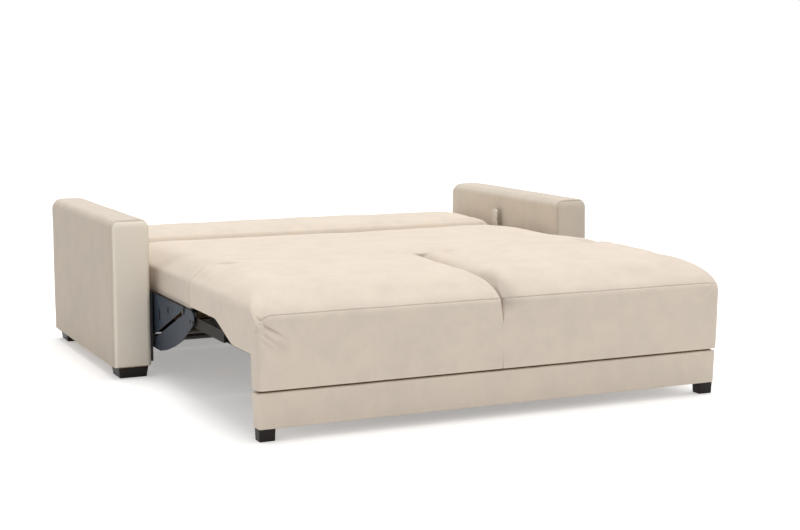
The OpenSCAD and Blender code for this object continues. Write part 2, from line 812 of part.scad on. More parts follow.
arm_cover(-1);  // left_arm_cover
arm_cover(1);  // right_arm_cover
arm_carcass(-1);  // left_arm_carcass
arm_carcass(1);  // right_arm_carcass
arm_feet();
rear_panel_cover();
rear_panel_board();
runner(-1);  // left_runner
runner(1);  // right_runner
guide_posts();
side_plate(-1);  // left_side_plate
side_plate(1);  // right_side_plate
front_cross_tube();
middle_cross_tube();
rear_cross_tube();
slide_rail(-1);  // left_slide_rail
slide_rail(1);  // right_slide_rail
glide_shoes();
slider_blocks();
rail_bolts();
pivot_shaft();
slot_bushes();
shaft_clips();
back_pad();
back_frame();
back_slats();
back_base_board();
pivot_brackets();
back_hinge_leaves();
back_hinge_bolts();
head_hinge_pins();
head_pad();
head_frame();
head_slats();
head_base_board();
head_hinge_leaves();
head_hinge_bolts();
seat_cushion(-1);  // left_seat_cushion
seat_cushion(1);  // right_seat_cushion
seat_side(-1);  // left_seat_side
seat_side(1);  // right_seat_side
seat_front_border();
seat_plinth();
seat_front_board();
seat_frame();
seat_webbing();
seat_channel(-1);  // left_seat_channel
seat_channel(1);  // right_seat_channel
seat_feet();
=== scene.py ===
import math

import bmesh
import bpy
import numpy as np
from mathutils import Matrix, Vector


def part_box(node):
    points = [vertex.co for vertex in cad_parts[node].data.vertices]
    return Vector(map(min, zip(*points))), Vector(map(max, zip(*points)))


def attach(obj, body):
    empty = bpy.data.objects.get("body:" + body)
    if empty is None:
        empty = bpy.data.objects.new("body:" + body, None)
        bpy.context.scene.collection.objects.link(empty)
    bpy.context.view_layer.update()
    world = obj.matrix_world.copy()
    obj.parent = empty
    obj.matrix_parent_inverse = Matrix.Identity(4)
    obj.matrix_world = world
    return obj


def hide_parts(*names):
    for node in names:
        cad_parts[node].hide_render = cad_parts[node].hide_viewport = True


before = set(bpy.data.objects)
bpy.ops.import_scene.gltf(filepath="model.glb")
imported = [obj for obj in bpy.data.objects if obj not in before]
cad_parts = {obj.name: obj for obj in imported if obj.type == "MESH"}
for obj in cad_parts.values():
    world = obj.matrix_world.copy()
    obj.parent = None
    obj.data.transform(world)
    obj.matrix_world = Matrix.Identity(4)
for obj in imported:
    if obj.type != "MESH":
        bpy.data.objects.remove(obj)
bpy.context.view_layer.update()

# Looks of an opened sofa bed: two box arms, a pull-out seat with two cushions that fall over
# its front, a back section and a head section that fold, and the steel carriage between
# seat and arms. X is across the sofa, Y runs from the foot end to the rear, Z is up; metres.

MM = 0.001


# Where the solid parts are

def edges_of(node):
    """The lowest and highest corner of a solid part as two arrays."""
    low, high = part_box(node)
    return np.array(low), np.array(high)


ARM_LOW, ARM_HIGH = edges_of("right_arm_cover")
REAR_LOW, REAR_HIGH = edges_of("rear_panel_cover")
SEAT_LOW, SEAT_HIGH = edges_of("right_seat_cushion")
SIDE_LOW = edges_of("right_seat_side")[0]
BORDER_LOW, BORDER_HIGH = edges_of("seat_front_border")
PLINTH_LOW, PLINTH_HIGH = edges_of("seat_plinth")
BOARD_LOW = edges_of("seat_front_board")[0]


# Grids of points

def even(start, stop, step):
    """Places from start up to just before stop, about a step apart."""
    count = max(1, math.ceil((stop - start) / step - 1e-6))
    return np.linspace(start, stop, count, endpoint=False)


def places(length, fine, coarse, near_start, near_end):
    """Fractions along a side: a fine step within near_start of its start and near_end of its
    end, and a coarse step between. The two ends themselves are left out."""
    marks = [even(0, near_start, fine), even(near_start, length - near_end, coarse),
             even(length - near_end, length, fine)]
    return np.concatenate(marks)[1:] / length


OUTWARD = np.array([[0, -1], [1, 0], [0, 1], [-1, 0]], float)
INWARD = np.array([[1, 1], [-1, 1], [-1, -1], [1, -1]], float)


def rounded_rings(low, high, radius, sides, arc=7):
    """Rounded rectangles in a plane, one for each row. low and high are their corners, radius
    the radii at the corners low-low, high-low, high-high and low-high, and sides the fractions
    along the four sides where points lie. A corner's points are its centre plus the radius
    times the direction, as that turns from one side's normal to the next one's.
    Gives the points, and the outward direction of each column."""
    corners = [np.stack([x, y], -1) for x, y in
               [(low[:, 0], low[:, 1]), (high[:, 0], low[:, 1]),
                (high[:, 0], high[:, 1]), (low[:, 0], high[:, 1])]]
    centres = [corners[k] + radius[:, k, None] * INWARD[k] for k in range(4)]
    turn = np.linspace(0, math.pi / 2, arc)[:, None]
    points, normals = [], []
    for k in range(4):
        after = (k + 1) % 4
        first = centres[k] + radius[:, k, None] * OUTWARD[k]
        last = centres[after] + radius[:, after, None] * OUTWARD[k]
        points.append(first[:, None] + (last - first)[:, None] * sides[k][None, :, None])
        normals.append(np.repeat(OUTWARD[k][None], len(sides[k]), 0))
        swing = np.cos(turn) * OUTWARD[k] + np.sin(turn) * OUTWARD[after]
        points.append(centres[after][:, None] + radius[:, after, None, None] * swing[None])
        normals.append(swing)
    return np.concatenate(points, 1), np.concatenate(normals, 0)


def mirrored_sides(along_first, along_second):
    """Places on the four sides such that opposite points face each other."""
    return [along_first, along_second, (1 - along_first)[::-1], (1 - along_second)[::-1]]


def inset_rings(low, high, insets, radius, sides, arc=7):
    """Rounded rings drawn in from one outline. insets has a row for each ring: how far it is
    drawn in at low first, low second, high first and high second."""
    insets = np.asarray(insets, float)
    lows = np.array(low)[None] + insets[:, :2]
    highs = np.array(high)[None] - insets[:, 2:]
    middle = (lows + highs) / 2
    lows, highs = np.minimum(lows, middle), np.maximum(highs, middle)
    room = np.min(highs - lows, axis=1)[:, None] / 2
    return rounded_rings(lows, highs, np.clip(radius, 0, room), sides, arc)


def closing_rows(size, edge, count):
    """Insets that draw a ring in from its edge to the line or point in its middle: edge holds
    the four insets at the edge, and the last row takes away half of the smaller width left."""
    left = np.array(size) - np.array(edge[:2]) - np.array(edge[2:])
    reach = left.min() / 2
    share = np.linspace(0, 1, count + 1)[1:, None]
    return np.array(edge)[None] + share * reach


def level_grid(ring, height):
    """Rings round X and Y as points, at one height for each ring or for each point."""
    height = np.broadcast_to(height, ring.shape[:2])
    return np.concatenate([ring, height[..., None]], -1)


def upright_grid(ring, along):
    """Rings round X and Z as points, each at its own place along Y."""
    depth = np.broadcast_to(along[:, None], ring.shape[:2])
    return np.stack([ring[..., 0], depth, ring[..., 1]], -1)


def bell(distance, width):
    """A smooth hump: one at distance 0, and a third of it at one width away."""
    return np.exp(-(distance / width) ** 2)


def step_up(value, start, stop):
    """Nought before start, one after stop, and a smooth rise between."""
    t = np.clip((value - start) / (stop - start), 0, 1)
    return t * t * (3 - 2 * t)


def slack(points, reach, longest, seed):
    """Sum of eight sine waves over the three coordinates, with directions, lengths and phases
    drawn from one seed: the soft unevenness of padding under cloth, from -1 to 1 times reach."""
    random = np.random.default_rng(seed)
    total = np.zeros(len(points))
    for _ in range(8):
        way = random.normal(size=3)
        way /= np.linalg.norm(way)
        length = longest * random.uniform(0.35, 1)
        total += np.sin(points @ way * (2 * math.pi / length) + random.uniform(0, 2 * math.pi))
    return total * reach / 4


# Making pieces

def new_piece(name, grids, finish, body, crease=None):
    """Makes one piece from grids of points whose rows close round on themselves and whose first
    and last rows have collapsed. Equal points are merged, which closes seams and poles, and the
    faces are then turned outward. crease is the angle in degrees past which an edge is sharp."""
    points, faces, count = [], [], 0
    for grid in grids:
        rows, columns = grid.shape[:2]
        index = count + np.arange(rows * columns).reshape(rows, columns)
        here, there = index[:-1], index[1:]
        ring = np.stack([here, np.roll(here, -1, 1), np.roll(there, -1, 1), there], -1)
        points.append(grid.reshape(-1, 3))
        faces.append(ring.reshape(-1, 4))
        count += rows * columns
    mesh = bpy.data.meshes.new(name)
    mesh.from_pydata(np.concatenate(points).tolist(), [], np.concatenate(faces).tolist())
    work = bmesh.new()
    work.from_mesh(mesh)
    bmesh.ops.remove_doubles(work, verts=work.verts, dist=2e-6)
    bmesh.ops.dissolve_degenerate(work, edges=work.edges, dist=2e-6)
    bmesh.ops.recalc_face_normals(work, faces=work.faces)
    work.to_mesh(mesh)
    work.free()
    mesh.polygons.foreach_set("use_smooth", np.ones(len(mesh.polygons), dtype=bool))
    if crease is not None:
        mesh.set_sharp_from_angle(angle=math.radians(crease))
    mesh.materials.append(finish)
    piece = bpy.data.objects.new(name, mesh)
    bpy.context.scene.collection.objects.link(piece)
    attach(piece, body)
    return piece


def rows_of(items, name):
    """Three numbers of each item of a mesh, as the rows of an array."""
    flat = np.zeros(len(items) * 3, np.float32)
    items.foreach_get(name, flat)
    return flat.reshape(-1, 3).astype(float)


def move_points(piece, points):
    """Puts the piece's points at new places."""
    piece.data.vertices.foreach_set("co", points.astype(np.float32).ravel())
    piece.data.update()


def paint(piece, name, values):
    """Keeps one number for each point, which a finish reads by its name."""
    attribute = piece.data.attributes.new(name, "FLOAT", "POINT")
    attribute.data.foreach_set("value", values.astype(np.float32))


def finer(piece):
    """Subdivides the piece once, keeps the result as its mesh, and gives its points and the
    outward direction at each of them."""
    modifier = piece.modifiers.new("finer", "SUBSURF")
    modifier.levels = modifier.render_levels = 1
    piece.data = bpy.data.meshes.new_from_object(
        piece.evaluated_get(bpy.context.evaluated_depsgraph_get()))
    piece.modifiers.clear()
    return rows_of(piece.data.vertices, "co"), rows_of(piece.data.vertex_normals, "vector")


# Air pressure in a cushion, the last frame of its simulation, and the most that a point moves
PRESSURE = 4.0
LAST_FRAME = 20
MOST_SWELL = 9 * MM


def inflate(piece, held):
    """Cloth simulation with air pressure inside. held is 1 where a point is nailed down. A point
    moves by the most that is allowed times tanh(its simulated move / that most)."""
    rest = rows_of(piece.data.vertices, "co")
    group = piece.vertex_groups.new(name="held")
    for level in np.unique(np.round(held, 2)):
        if level > 0:
            members = np.flatnonzero(np.round(held, 2) == level)
            group.add(members.tolist(), float(level), "REPLACE")
    cloth = piece.modifiers.new("cloth", "CLOTH")
    cloth.settings.quality = 4
    cloth.settings.use_pressure = True
    cloth.settings.uniform_pressure_force = PRESSURE
    cloth.settings.vertex_group_mass = "held"
    cloth.settings.effector_weights.gravity = 0
    cloth.collision_settings.use_collision = False
    cloth.point_cache.frame_start = 1
    cloth.point_cache.frame_end = LAST_FRAME
    for number in range(1, LAST_FRAME + 1):
        bpy.context.scene.frame_set(number)
    swollen = piece.evaluated_get(bpy.context.evaluated_depsgraph_get())
    move = rows_of(swollen.data.vertices, "co") - rest
    piece.modifiers.clear()
    piece.vertex_groups.clear()
    bpy.context.scene.frame_set(1)
    length = np.linalg.norm(move, axis=1) + 1e-9
    share = MOST_SWELL * np.tanh(length / MOST_SWELL) / length
    move_points(piece, rest + move * share[:, None])


# Finishes

class Value:
    """A number that a finish works out at each point of a surface. It is added to, taken away
    and multiplied like any number."""

    def __init__(self, nodes, socket):
        self.nodes = nodes
        self.socket = socket

    def math(self, operation, *operands):
        made = self.nodes.node("ShaderNodeMath", {"operation": operation},
                               dict(enumerate(operands)))
        return Value(self.nodes, made.outputs[0])

    def __add__(self, other):
        return self.math("ADD", self, other)

    def __sub__(self, other):
        return self.math("SUBTRACT", self, other)

    def __rsub__(self, other):
        return self.math("SUBTRACT", other, self)

    def __mul__(self, other):
        return self.math("MULTIPLY", self, other)

    def size(self):
        return self.math("ABSOLUTE", self)

    def larger(self, other):
        return self.math("MAXIMUM", self, other)

    def wave(self):
        return self.math("SINE", self)

    __radd__ = __add__
    __rmul__ = __mul__


class Nodes:
    """A node tree, with one method that adds a node and short ones for what is used often."""

    def __init__(self, tree):
        self.tree = tree
        self.tree.nodes.clear()

    def node(self, kind, settings=None, inputs=None):
        """Adds a node: its settings come first, a ramp's as its stops, and then its inputs."""
        made = self.tree.nodes.new(kind)
        for name, setting in (settings or {}).items():
            if name == "stops":
                self.set_stops(made.color_ramp, setting)
            else:
                setattr(made, name, setting)
        for key, given in (inputs or {}).items():
            if isinstance(given, Value):
                self.tree.links.new(given.socket, made.inputs[key])
            elif isinstance(given, bpy.types.NodeSocket):
                self.tree.links.new(given, made.inputs[key])
            else:
                made.inputs[key].default_value = given
        return made

    def set_stops(self, ramp, stops):
        while len(ramp.elements) < len(stops):
            ramp.elements.new(1)
        for element, (place, colour) in zip(ramp.elements, stops):
            element.position = place
            element.color = (*colour, 1)

    def place(self):
        """The point in the piece's own coordinates, in metres."""
        return self.node("ShaderNodeTexCoord").outputs["Object"]

    def stretched(self, scale, shift=(0, 0, 0)):
        """The point with each coordinate multiplied by a scale of its own."""
        made = self.node("ShaderNodeMapping", {"vector_type": "POINT"},
                         {"Vector": self.place(), "Location": shift, "Scale": scale})
        return made.outputs[0]

    def parts(self, vector):
        """The three numbers of a vector."""
        made = self.node("ShaderNodeSeparateXYZ", None, {0: vector})
        return [Value(self, made.outputs[i]) for i in range(3)]

    def noise(self, vector, scale, detail=2.0, roughness=0.5, distortion=0.0):
        made = self.node("ShaderNodeTexNoise", None,
                         {"Vector": vector, "Scale": scale, "Detail": detail,
                          "Roughness": roughness, "Distortion": distortion})
        return Value(self, made.outputs[0])

    def grains(self, vector, scale):
        """Distance to the nearest of many scattered points."""
        made = self.node("ShaderNodeTexVoronoi", None, {"Vector": vector, "Scale": scale})
        return Value(self, made.outputs["Distance"])

    def painted(self, name):
        """A number that was kept for each point of the piece."""
        made = self.node("ShaderNodeAttribute", {"attribute_name": name})
        return Value(self, made.outputs["Fac"])

    def between(self, value, low, high, out_low=0.0, out_high=1.0):
        """Smooth rise from out_low to out_high as the value goes from low to high."""
        made = self.node("ShaderNodeMapRange", {"interpolation_type": "SMOOTHSTEP"},
                         {0: value, 1: low, 2: high, 3: out_low, 4: out_high})
        return Value(self, made.outputs[0])

    def mixed(self, factor, first, second):
        """A colour between two others."""
        made = self.node("ShaderNodeMix", {"data_type": "RGBA", "clamp_factor": True},
                         {0: factor, 6: self.colour(first), 7: self.colour(second)})
        return made.outputs[2]

    def colour(self, given):
        return (*given, 1) if isinstance(given, tuple) else given


class Finish(Nodes):
    """One surface finish of the sofa."""

    def __init__(self, name):
        self.material = bpy.data.materials.new(name)
        self.material.use_nodes = True
        super().__init__(self.material.node_tree)

    def surface(self, colour, roughness, height=None, depth=0.0005, strength=0.3, constants=None):
        """Closes the finish: colour and roughness may vary, height is pressed into the surface
        as fine relief, and the constants are set on the shader itself."""
        inputs = {"Base Color": self.colour(colour), "Roughness": roughness}
        if height is not None:
            relief = self.node("ShaderNodeBump", None,
                               {"Height": height, "Distance": depth, "Strength": strength})
            inputs["Normal"] = relief.outputs[0]
        inputs.update(constants or {})
        shader = self.node("ShaderNodeBsdfPrincipled", None, inputs)
        self.node("ShaderNodeOutputMaterial", None, {0: shader.outputs[0]})
        return self.material


# Colour that painted light draws the arms' cloth towards, on faces that get too little light
PAINTED_LIGHT_TONE = (1.0, 0.92, 0.80)


def napped_cloth(name, deep, pale, warm, painted_shade_tone, streaks):
    """Soft napped upholstery cloth: cloudy patches where the nap lies differently, faint upright
    brush streaks and a fine fibre grain. Painted shade darkens the seams, the crevices, the
    contacts between parts and faces that get little light, and painted light makes faces that
    get too little light paler."""
    f = Finish(name)
    here = f.place()
    clouds = f.noise(here, 17.0, 3.0, 0.55, 0.4)
    patches = f.noise(f.stretched((1, 1, 1), (7.3, 2.1, 5.7)), 6.5, 2.0, 0.5)
    brushed = f.noise(f.stretched((46.0, 30.0, 5.0)), 1.0, 2.0, 0.6)
    fibres = f.noise(here, 1500.0, 2.0, 0.6)
    pile = f.noise(here, 260.0, 3.0, 0.65)
    # Painted shade kept for each point: along the seams, in crevices, at contacts and on faces
    # that get little light
    seam = f.painted("seam")
    lie = (clouds - 0.5) * 0.75 + (patches - 0.5) * 0.55 + (brushed - 0.5) * streaks
    lie = lie + (pile - 0.5) * 0.3 + (fibres - 0.5) * 0.45 + 0.5
    body = f.mixed(lie, deep, pale)
    tinted = f.mixed(f.between(patches + (clouds - 0.5) * 0.6, 0.38, 0.72, 0.0, 0.5), body, warm)
    shaded = f.mixed(seam * 0.6, tinted, painted_shade_tone)
    # Painted light kept for each point, on faces that get too little light
    shaded = f.mixed(f.painted("lift"), shaded, PAINTED_LIGHT_TONE)
    relief = fibres * 0.35 + pile * 0.5 + clouds * 0.6 - seam * 1.2
    roughness = 0.84 + (lie - 0.5) * -0.12
    return f.surface(shaded, roughness, relief, depth=0.0009, strength=0.35,
                     constants={"Sheen Weight": 0.22, "Sheen Roughness": 0.45,
                                "Sheen Tint": (1.0, 0.95, 0.88, 1), "Specular IOR Level": 0.25})


def planed_wood(name, early, late, along, shine=0.55):
    """Planed board: growth rings as waves across the run of the grain, bent by a slow noise,
    with fine pores stretched along the run."""
    f = Finish(name)
    across = [9.0, 9.0, 9.0]
    across[along] = 0.9
    bent = f.noise(f.stretched(tuple(across)), 1.0, 3.0, 0.55, 0.8)
    x, y, z = f.parts(f.place())
    width = y if along == 0 else x
    rings = (width * 260.0 + z * 340.0 + bent * 26.0).wave() * 0.5 + 0.5
    pores_scale = [900.0, 900.0, 900.0]
    pores_scale[along] = 14.0
    pores = f.noise(f.stretched(tuple(pores_scale)), 1.0, 2.0, 0.6)
    colour = f.mixed(rings * 0.6 + (pores - 0.5) * 0.8, early, late)
    return f.surface(colour, shine + 0.15 * (pores - 0.5), pores + rings * 0.3,
                     depth=0.0004, strength=0.25)


def stained_feet(name):
    """Hardwood stained nearly black, satin, with the grain upright and a paler lower edge
    where the stain has worn."""
    f = Finish(name)
    grain = f.noise(f.stretched((420.0, 420.0, 16.0)), 1.0, 3.0, 0.6)
    cloud = f.noise(f.place(), 34.0, 2.0)
    z = f.parts(f.place())[2]
    worn = f.between(z + (cloud - 0.5) * 0.006, 0.0, 0.006, 1.0, 0.0)
    base = f.mixed(grain * 0.9 + (cloud - 0.5) * 0.6, (0.006, 0.0045, 0.004),
                   (0.020, 0.014, 0.011))
    colour = f.mixed(worn * 0.5, base, (0.075, 0.05, 0.035))
    return f.surface(colour, 0.42 + 0.2 * (grain - 0.5), grain, depth=0.0003, strength=0.3,
                     constants={"Specular IOR Level": 0.22})


def powder_coat(name, colour, edge, roughness=0.42, edge_share=0.0, sheen=0.45):
    """Powder-coated steel: an even coat with a fine orange peel, small specks, dust that lies
    in broad soft patches, and, on sheet parts, darker cut edges."""
    f = Finish(name)
    here = f.place()
    peel = f.noise(here, 850.0, 1.0, 0.4)
    dust = f.noise(here, 13.0, 3.0, 0.6)
    specks = f.between(f.grains(here, 420.0), 0.05, 0.16, 1.0, 0.0)
    lighter = tuple(min(1.0, c * 1.55 + 0.012) for c in colour)
    coat = f.mixed(f.between(dust, 0.40, 0.72, 0.0, 0.6), colour, lighter)
    coat = f.mixed(specks * 0.35, coat, edge)
    if edge_share:
        facing = f.parts(f.node("ShaderNodeTexCoord").outputs["Normal"])[0]
        coat = f.mixed(f.between(facing.size(), 0.35, 0.8, edge_share, 0.0), coat, edge)
    return f.surface(coat, roughness + 0.25 * (dust - 0.5), peel, depth=0.0002, strength=0.25,
                     constants={"Specular IOR Level": sheen})


def zinc_plate(name, bright, dull_tone, metallic=0.9):
    """Zinc-plated steel: bright metal with soft cloudy crystals, rolling streaks and duller
    spots."""
    f = Finish(name)
    here = f.place()
    crystals = f.grains(here, 95.0)
    streaks = f.noise(f.stretched((40.0, 240.0, 900.0)), 1.0, 2.0, 0.6)
    dull = f.noise(here, 21.0, 3.0, 0.6)
    colour = f.mixed(crystals * 0.6 + (dull - 0.5) * 1.2 + 0.2, bright, dull_tone)
    rough = 0.26 + 0.3 * dull + 0.12 * (streaks - 0.5)
    return f.surface(colour, rough, streaks + crystals * 0.4, depth=0.0002, strength=0.2,
                     constants={"Metallic": metallic})


def moulded_nylon(name):
    """Black moulded nylon with a fine spark texture and paler scuffs."""
    f = Finish(name)
    here = f.place()
    spark = f.noise(here, 1400.0, 2.0, 0.7)
    scuffs = f.noise(f.stretched((60.0, 9.0, 60.0)), 1.0, 4.0, 0.7)
    colour = f.mixed(f.between(scuffs, 0.56, 0.74, 0.0, 0.5), (0.012, 0.012, 0.013),
                     (0.055, 0.055, 0.058))
    return f.surface(colour, 0.48 + 0.2 * (spark - 0.5), spark, depth=0.0002, strength=0.3)


def seat_webbing(name):
    """Elastic webbing woven from dark cords that run along it, with two rubber threads of a
    lighter colour in each strap."""
    f = Finish(name)
    x, y = f.parts(f.place())[:2]
    cords = (x * 2300.0).wave()
    weft = (y * 1900.0).wave()
    weave = cords * weft * 0.5 + 0.5
    thread = f.between((x * 104.7).wave(), 0.86, 0.97)
    colour = f.mixed(thread * 0.6, (0.014, 0.014, 0.016), (0.16, 0.12, 0.07))
    colour = f.mixed(weave * 0.5, colour, (0.045, 0.045, 0.05))
    return f.surface(colour, 0.8 + 0.1 * (weave - 0.5), weave, depth=0.0006, strength=0.5)


def pressed_felt(name):
    """Black felted board: short fibres that lie every way, with paler flecks and a soft bloom."""
    f = Finish(name)
    here = f.place()
    fibres = f.noise(here, 900.0, 3.0, 0.7, 0.6)
    bloom = f.noise(here, 9.0, 3.0, 0.6)
    flecks = f.between(f.grains(here, 300.0), 0.04, 0.12, 1.0, 0.0)
    colour = f.mixed(fibres * 0.5 + bloom * 0.5, (0.004, 0.004, 0.0042), (0.016, 0.0155, 0.0155))
    colour = f.mixed(flecks * 0.3, colour, (0.05, 0.05, 0.05))
    return f.surface(colour, 0.9 + 0.1 * (fibres - 0.5), fibres, depth=0.0004, strength=0.4)


# The arms' and rear panel's cloth is a darker copy of the cushions' cloth: painted shade for the
# dimmer light on those faces
CLOTH = napped_cloth("cream_napped_cloth_painted_shade", deep=(0.655, 0.583, 0.497), pale=(0.80, 0.715, 0.62),
                     warm=(0.765, 0.665, 0.555), painted_shade_tone=(0.385, 0.325, 0.25), streaks=0.45)
CLOTH_TOP = napped_cloth("cream_napped_cloth_cushions", deep=(0.765, 0.67, 0.57),
                         pale=(0.90, 0.80, 0.695), warm=(0.88, 0.76, 0.635),
                         painted_shade_tone=(0.474, 0.415, 0.353), streaks=0.2)
SOFTWOOD = planed_wood("planed_softwood", early=(0.66, 0.47, 0.28), late=(0.40, 0.24, 0.12),
                       along=1)
BEECH = planed_wood("lacquered_beech", early=(0.69, 0.50, 0.32), late=(0.52, 0.34, 0.20),
                    along=0, shine=0.4)
FEET = stained_feet("stained_hardwood")
PLATE_COAT = powder_coat("blue_grey_powder_coat", (0.040, 0.052, 0.074), (0.004, 0.005, 0.006),
                         roughness=0.5, edge_share=0.95, sheen=0.2)
DARK_COAT = powder_coat("dark_grey_powder_coat", (0.022, 0.021, 0.020), (0.006, 0.006, 0.006),
                        roughness=0.34)
BRONZE_COAT = powder_coat("bronze_powder_coat", (0.062, 0.045, 0.033), (0.012, 0.009, 0.008),
                          roughness=0.3)
RAIL_COAT = powder_coat("brown_powder_coat", (0.020, 0.017, 0.013), (0.005, 0.004, 0.003),
                        roughness=0.6, sheen=0.15)
# Dark brown cloth of the groove strip, which stands in for the shade deep in the groove
GROOVE_SHADE_CLOTH = napped_cloth("brown_groove_shade_cloth", deep=(0.10, 0.075, 0.05),
                            pale=(0.19, 0.15, 0.105), warm=(0.16, 0.12, 0.08),
                            painted_shade_tone=(0.062, 0.0465, 0.031), streaks=0.2)
ZINC = zinc_plate("zinc_plated_steel", (0.76, 0.72, 0.64), (0.48, 0.455, 0.41))
OILED = zinc_plate("oiled_black_steel", (0.035, 0.033, 0.030), (0.014, 0.013, 0.012),
                   metallic=0.3)
NYLON = moulded_nylon("black_nylon")
WEBBING = seat_webbing("woven_elastic_webbing")
# Black felt of the underside panel, a dark sheet that stands in for shade
FELT = pressed_felt("black_felt_shade_board")

NODE_FINISHES = {
    SOFTWOOD: ["left_arm_carcass", "right_arm_carcass", "rear_panel_board", "back_frame",
               "head_frame", "seat_front_board", "seat_frame"],
    BEECH: ["back_slats", "head_slats", "back_base_board", "head_base_board"],
    PLATE_COAT: ["left_side_plate", "right_side_plate"],
    DARK_COAT: ["front_cross_tube", "rear_cross_tube", "pivot_brackets", "left_seat_channel",
                "right_seat_channel"],
    BRONZE_COAT: ["middle_cross_tube"],
    RAIL_COAT: ["left_slide_rail", "right_slide_rail", "left_runner", "right_runner"],
    ZINC: ["back_hinge_leaves", "head_hinge_leaves", "back_hinge_bolts", "head_hinge_bolts",
           "head_hinge_pins"],
    OILED: ["rail_bolts", "pivot_shaft", "shaft_clips"],
    NYLON: ["guide_posts", "glide_shoes", "slider_blocks", "slot_bushes"],
    WEBBING: ["seat_webbing"],
}


def dress_nodes():
    """Gives each solid part that stays in sight its finish."""
    for finish, names in NODE_FINISHES.items():
        for name in names:
            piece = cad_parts[name]
            piece.data.materials.clear()
            piece.data.materials.append(finish)


# Arms

# Radii of an arm's long edges above and below, and of its rear edges at the top and elsewhere
ARM_EDGE = 30 * MM
ARM_FOOT_EDGE = 9 * MM
ARM_REAR_TOP = 27 * MM
ARM_REAR = 7 * MM
# How much wider than its solid the padding makes an arm, on its outer side
ARM_SWELL = 8 * MM
# The roll over the front edge: how deep it is, and how far it draws in at the inner side, the
# bottom, the outer side and the top
ROLL_DEPTH = 21 * MM
ROLL_IN = np.array([18, 9, 18, 32]) * MM
# How far the surface has turned forward where the seam of an arm's front face lies
SEAM_TURN = 0.66
# Painted shade on the outer face and painted light on the front and inner faces of the left arm
# (-1) and the right arm (1)
OUTER_SHADE = {-1: 0.55, 1: 0.2}
FRONT_LIGHT = {-1: 1.0, 1: -0.4}
INNER_LIGHT = {-1: 0.0, 1: 0.1}


def arm_grid():
    """The right arm's cover as rings round X and Z, stacked along Y. From the middle of the front
    face they spread out, roll over the front edge by quarter ellipses, run to the rear, where the
    top comes down by a quarter circle, round the rear edges and close on the rear face."""
    low = ARM_LOW[[0, 2]]
    high = ARM_HIGH[[0, 2]] + np.array([ARM_SWELL, 0])
    size = high - low
    length = ARM_HIGH[1] - ARM_LOW[1]
    sides = mirrored_sides(places(size[0] - 40 * MM, 8 * MM, 12 * MM, 20 * MM, 20 * MM),
                           places(size[1] - 40 * MM, 12 * MM, 20 * MM, 60 * MM, 90 * MM))
    turn = np.radians(np.array([90, 82, 75, 68, 61, 54, 48, 42, 36, 30, 23, 15, 7, 0]))
    roll = ROLL_IN[None] * (1 - np.cos(turn))[:, None]
    roll_y = ROLL_DEPTH * (1 - np.sin(turn))
    face = closing_rows(size, ROLL_IN, 8)[::-1]
    body_y = np.concatenate([even(ROLL_DEPTH + 12 * MM, length - 60 * MM, 30 * MM),
                             even(length - 60 * MM, length - ARM_REAR, 5 * MM)])
    rear = np.radians(np.linspace(0, 90, 8))
    rear_y = length - ARM_REAR + ARM_REAR * np.sin(rear)
    rear_in = ARM_REAR * (1 - np.cos(rear))
    end = np.array([ARM_REAR, ARM_REAR, ARM_REAR, ARM_REAR_TOP])
    shut = closing_rows(size, end, 7)
    insets = np.concatenate([face, roll, np.zeros((len(body_y), 4)),
                             np.repeat(rear_in[:, None], 4, 1), shut])
    along = np.concatenate([np.zeros(len(face)), roll_y, body_y, rear_y,
                            np.full(len(shut), length)])
    past = np.clip(along - (length - ARM_REAR_TOP), 0, ARM_REAR_TOP)
    come_down = ARM_REAR_TOP - np.sqrt(ARM_REAR_TOP ** 2 - past ** 2)
    open_rows = len(along) - len(shut)
    insets[:open_rows, 3] = np.maximum(insets[:open_rows, 3], come_down[:open_rows])
    edge = np.array([ARM_FOOT_EDGE, ARM_FOOT_EDGE, ARM_EDGE, ARM_EDGE])
    radius = np.clip(edge[None] - insets[:, :1], 1.5 * MM, None)
    ring, _ = inset_rings(low, high, insets, radius, sides)
    return upright_grid(ring, ARM_LOW[1] + along)


def arm_cover(side, name, node):
    """One arm: the grid of the right arm, mirrored for the left, softly uneven, with the top
    slightly crowned and a seam round the front face that draws the cloth in and puckers it.
    Painted shade darkens the seam and the outer face, and painted light brightens the left arm's
    front face and the right arm's inner face."""
    piece = new_piece(name, [arm_grid() * np.array([side, 1, 1])], CLOTH, "frame")
    points, outward = finer(piece)
    width = ARM_HIGH[0] + ARM_SWELL - ARM_LOW[0]
    across = (np.abs(points[:, 0]) - ARM_LOW[0]) / width * 2 - 1
    up = np.clip((points[:, 2] - ARM_LOW[2]) / (ARM_HIGH[2] - ARM_LOW[2]), 0, 1)
    front = (points[:, 1] < ARM_LOW[1] + 60 * MM) & (up > 0.03)
    forward, facing = -outward[:, 1], side * outward[:, 0]
    seam = bell(forward - SEAM_TURN, 0.055) * front
    pucker = slack(points, 1.0, 26 * MM, 5) * bell(forward - SEAM_TURN, 0.4) * front
    puff = np.clip(1 - across ** 2, 0, 1) * np.sin(np.pi * up) ** 0.5 * step_up(forward, 0.9, 1.0)
    crown = np.clip(1 - across ** 2, 0, 1) * step_up(outward[:, 2], 0.7, 0.98)
    move = slack(points, 0.9 * MM, 0.34, 11) + 4 * MM * crown + 2.6 * MM * puff
    move = move - 1.3 * MM * seam + 0.35 * MM * pucker
    move = move * np.where(facing < -0.4, 0.3, 1.0)
    move = np.where(outward[:, 2] < -0.5, 0, move)
    move_points(piece, points + outward * move[:, None])
    # Painted shade along the seam and on the outer face, painted light on the front and inner
    # faces
    shade = OUTER_SHADE[side] * step_up(facing, 0.3, 0.9)
    paint(piece, "seam", np.clip(seam + shade, 0, 1))
    light = FRONT_LIGHT[side] * step_up(forward, 0.35, 0.85)
    light = light + INNER_LIGHT[side] * step_up(-facing, 0.4, 0.9)
    paint(piece, "lift", np.clip(light, 0, 1))
    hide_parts(node)


# Rear panel

# How far the rear panel's ends stay clear of the arms
REAR_CLEAR = 0.4 * MM


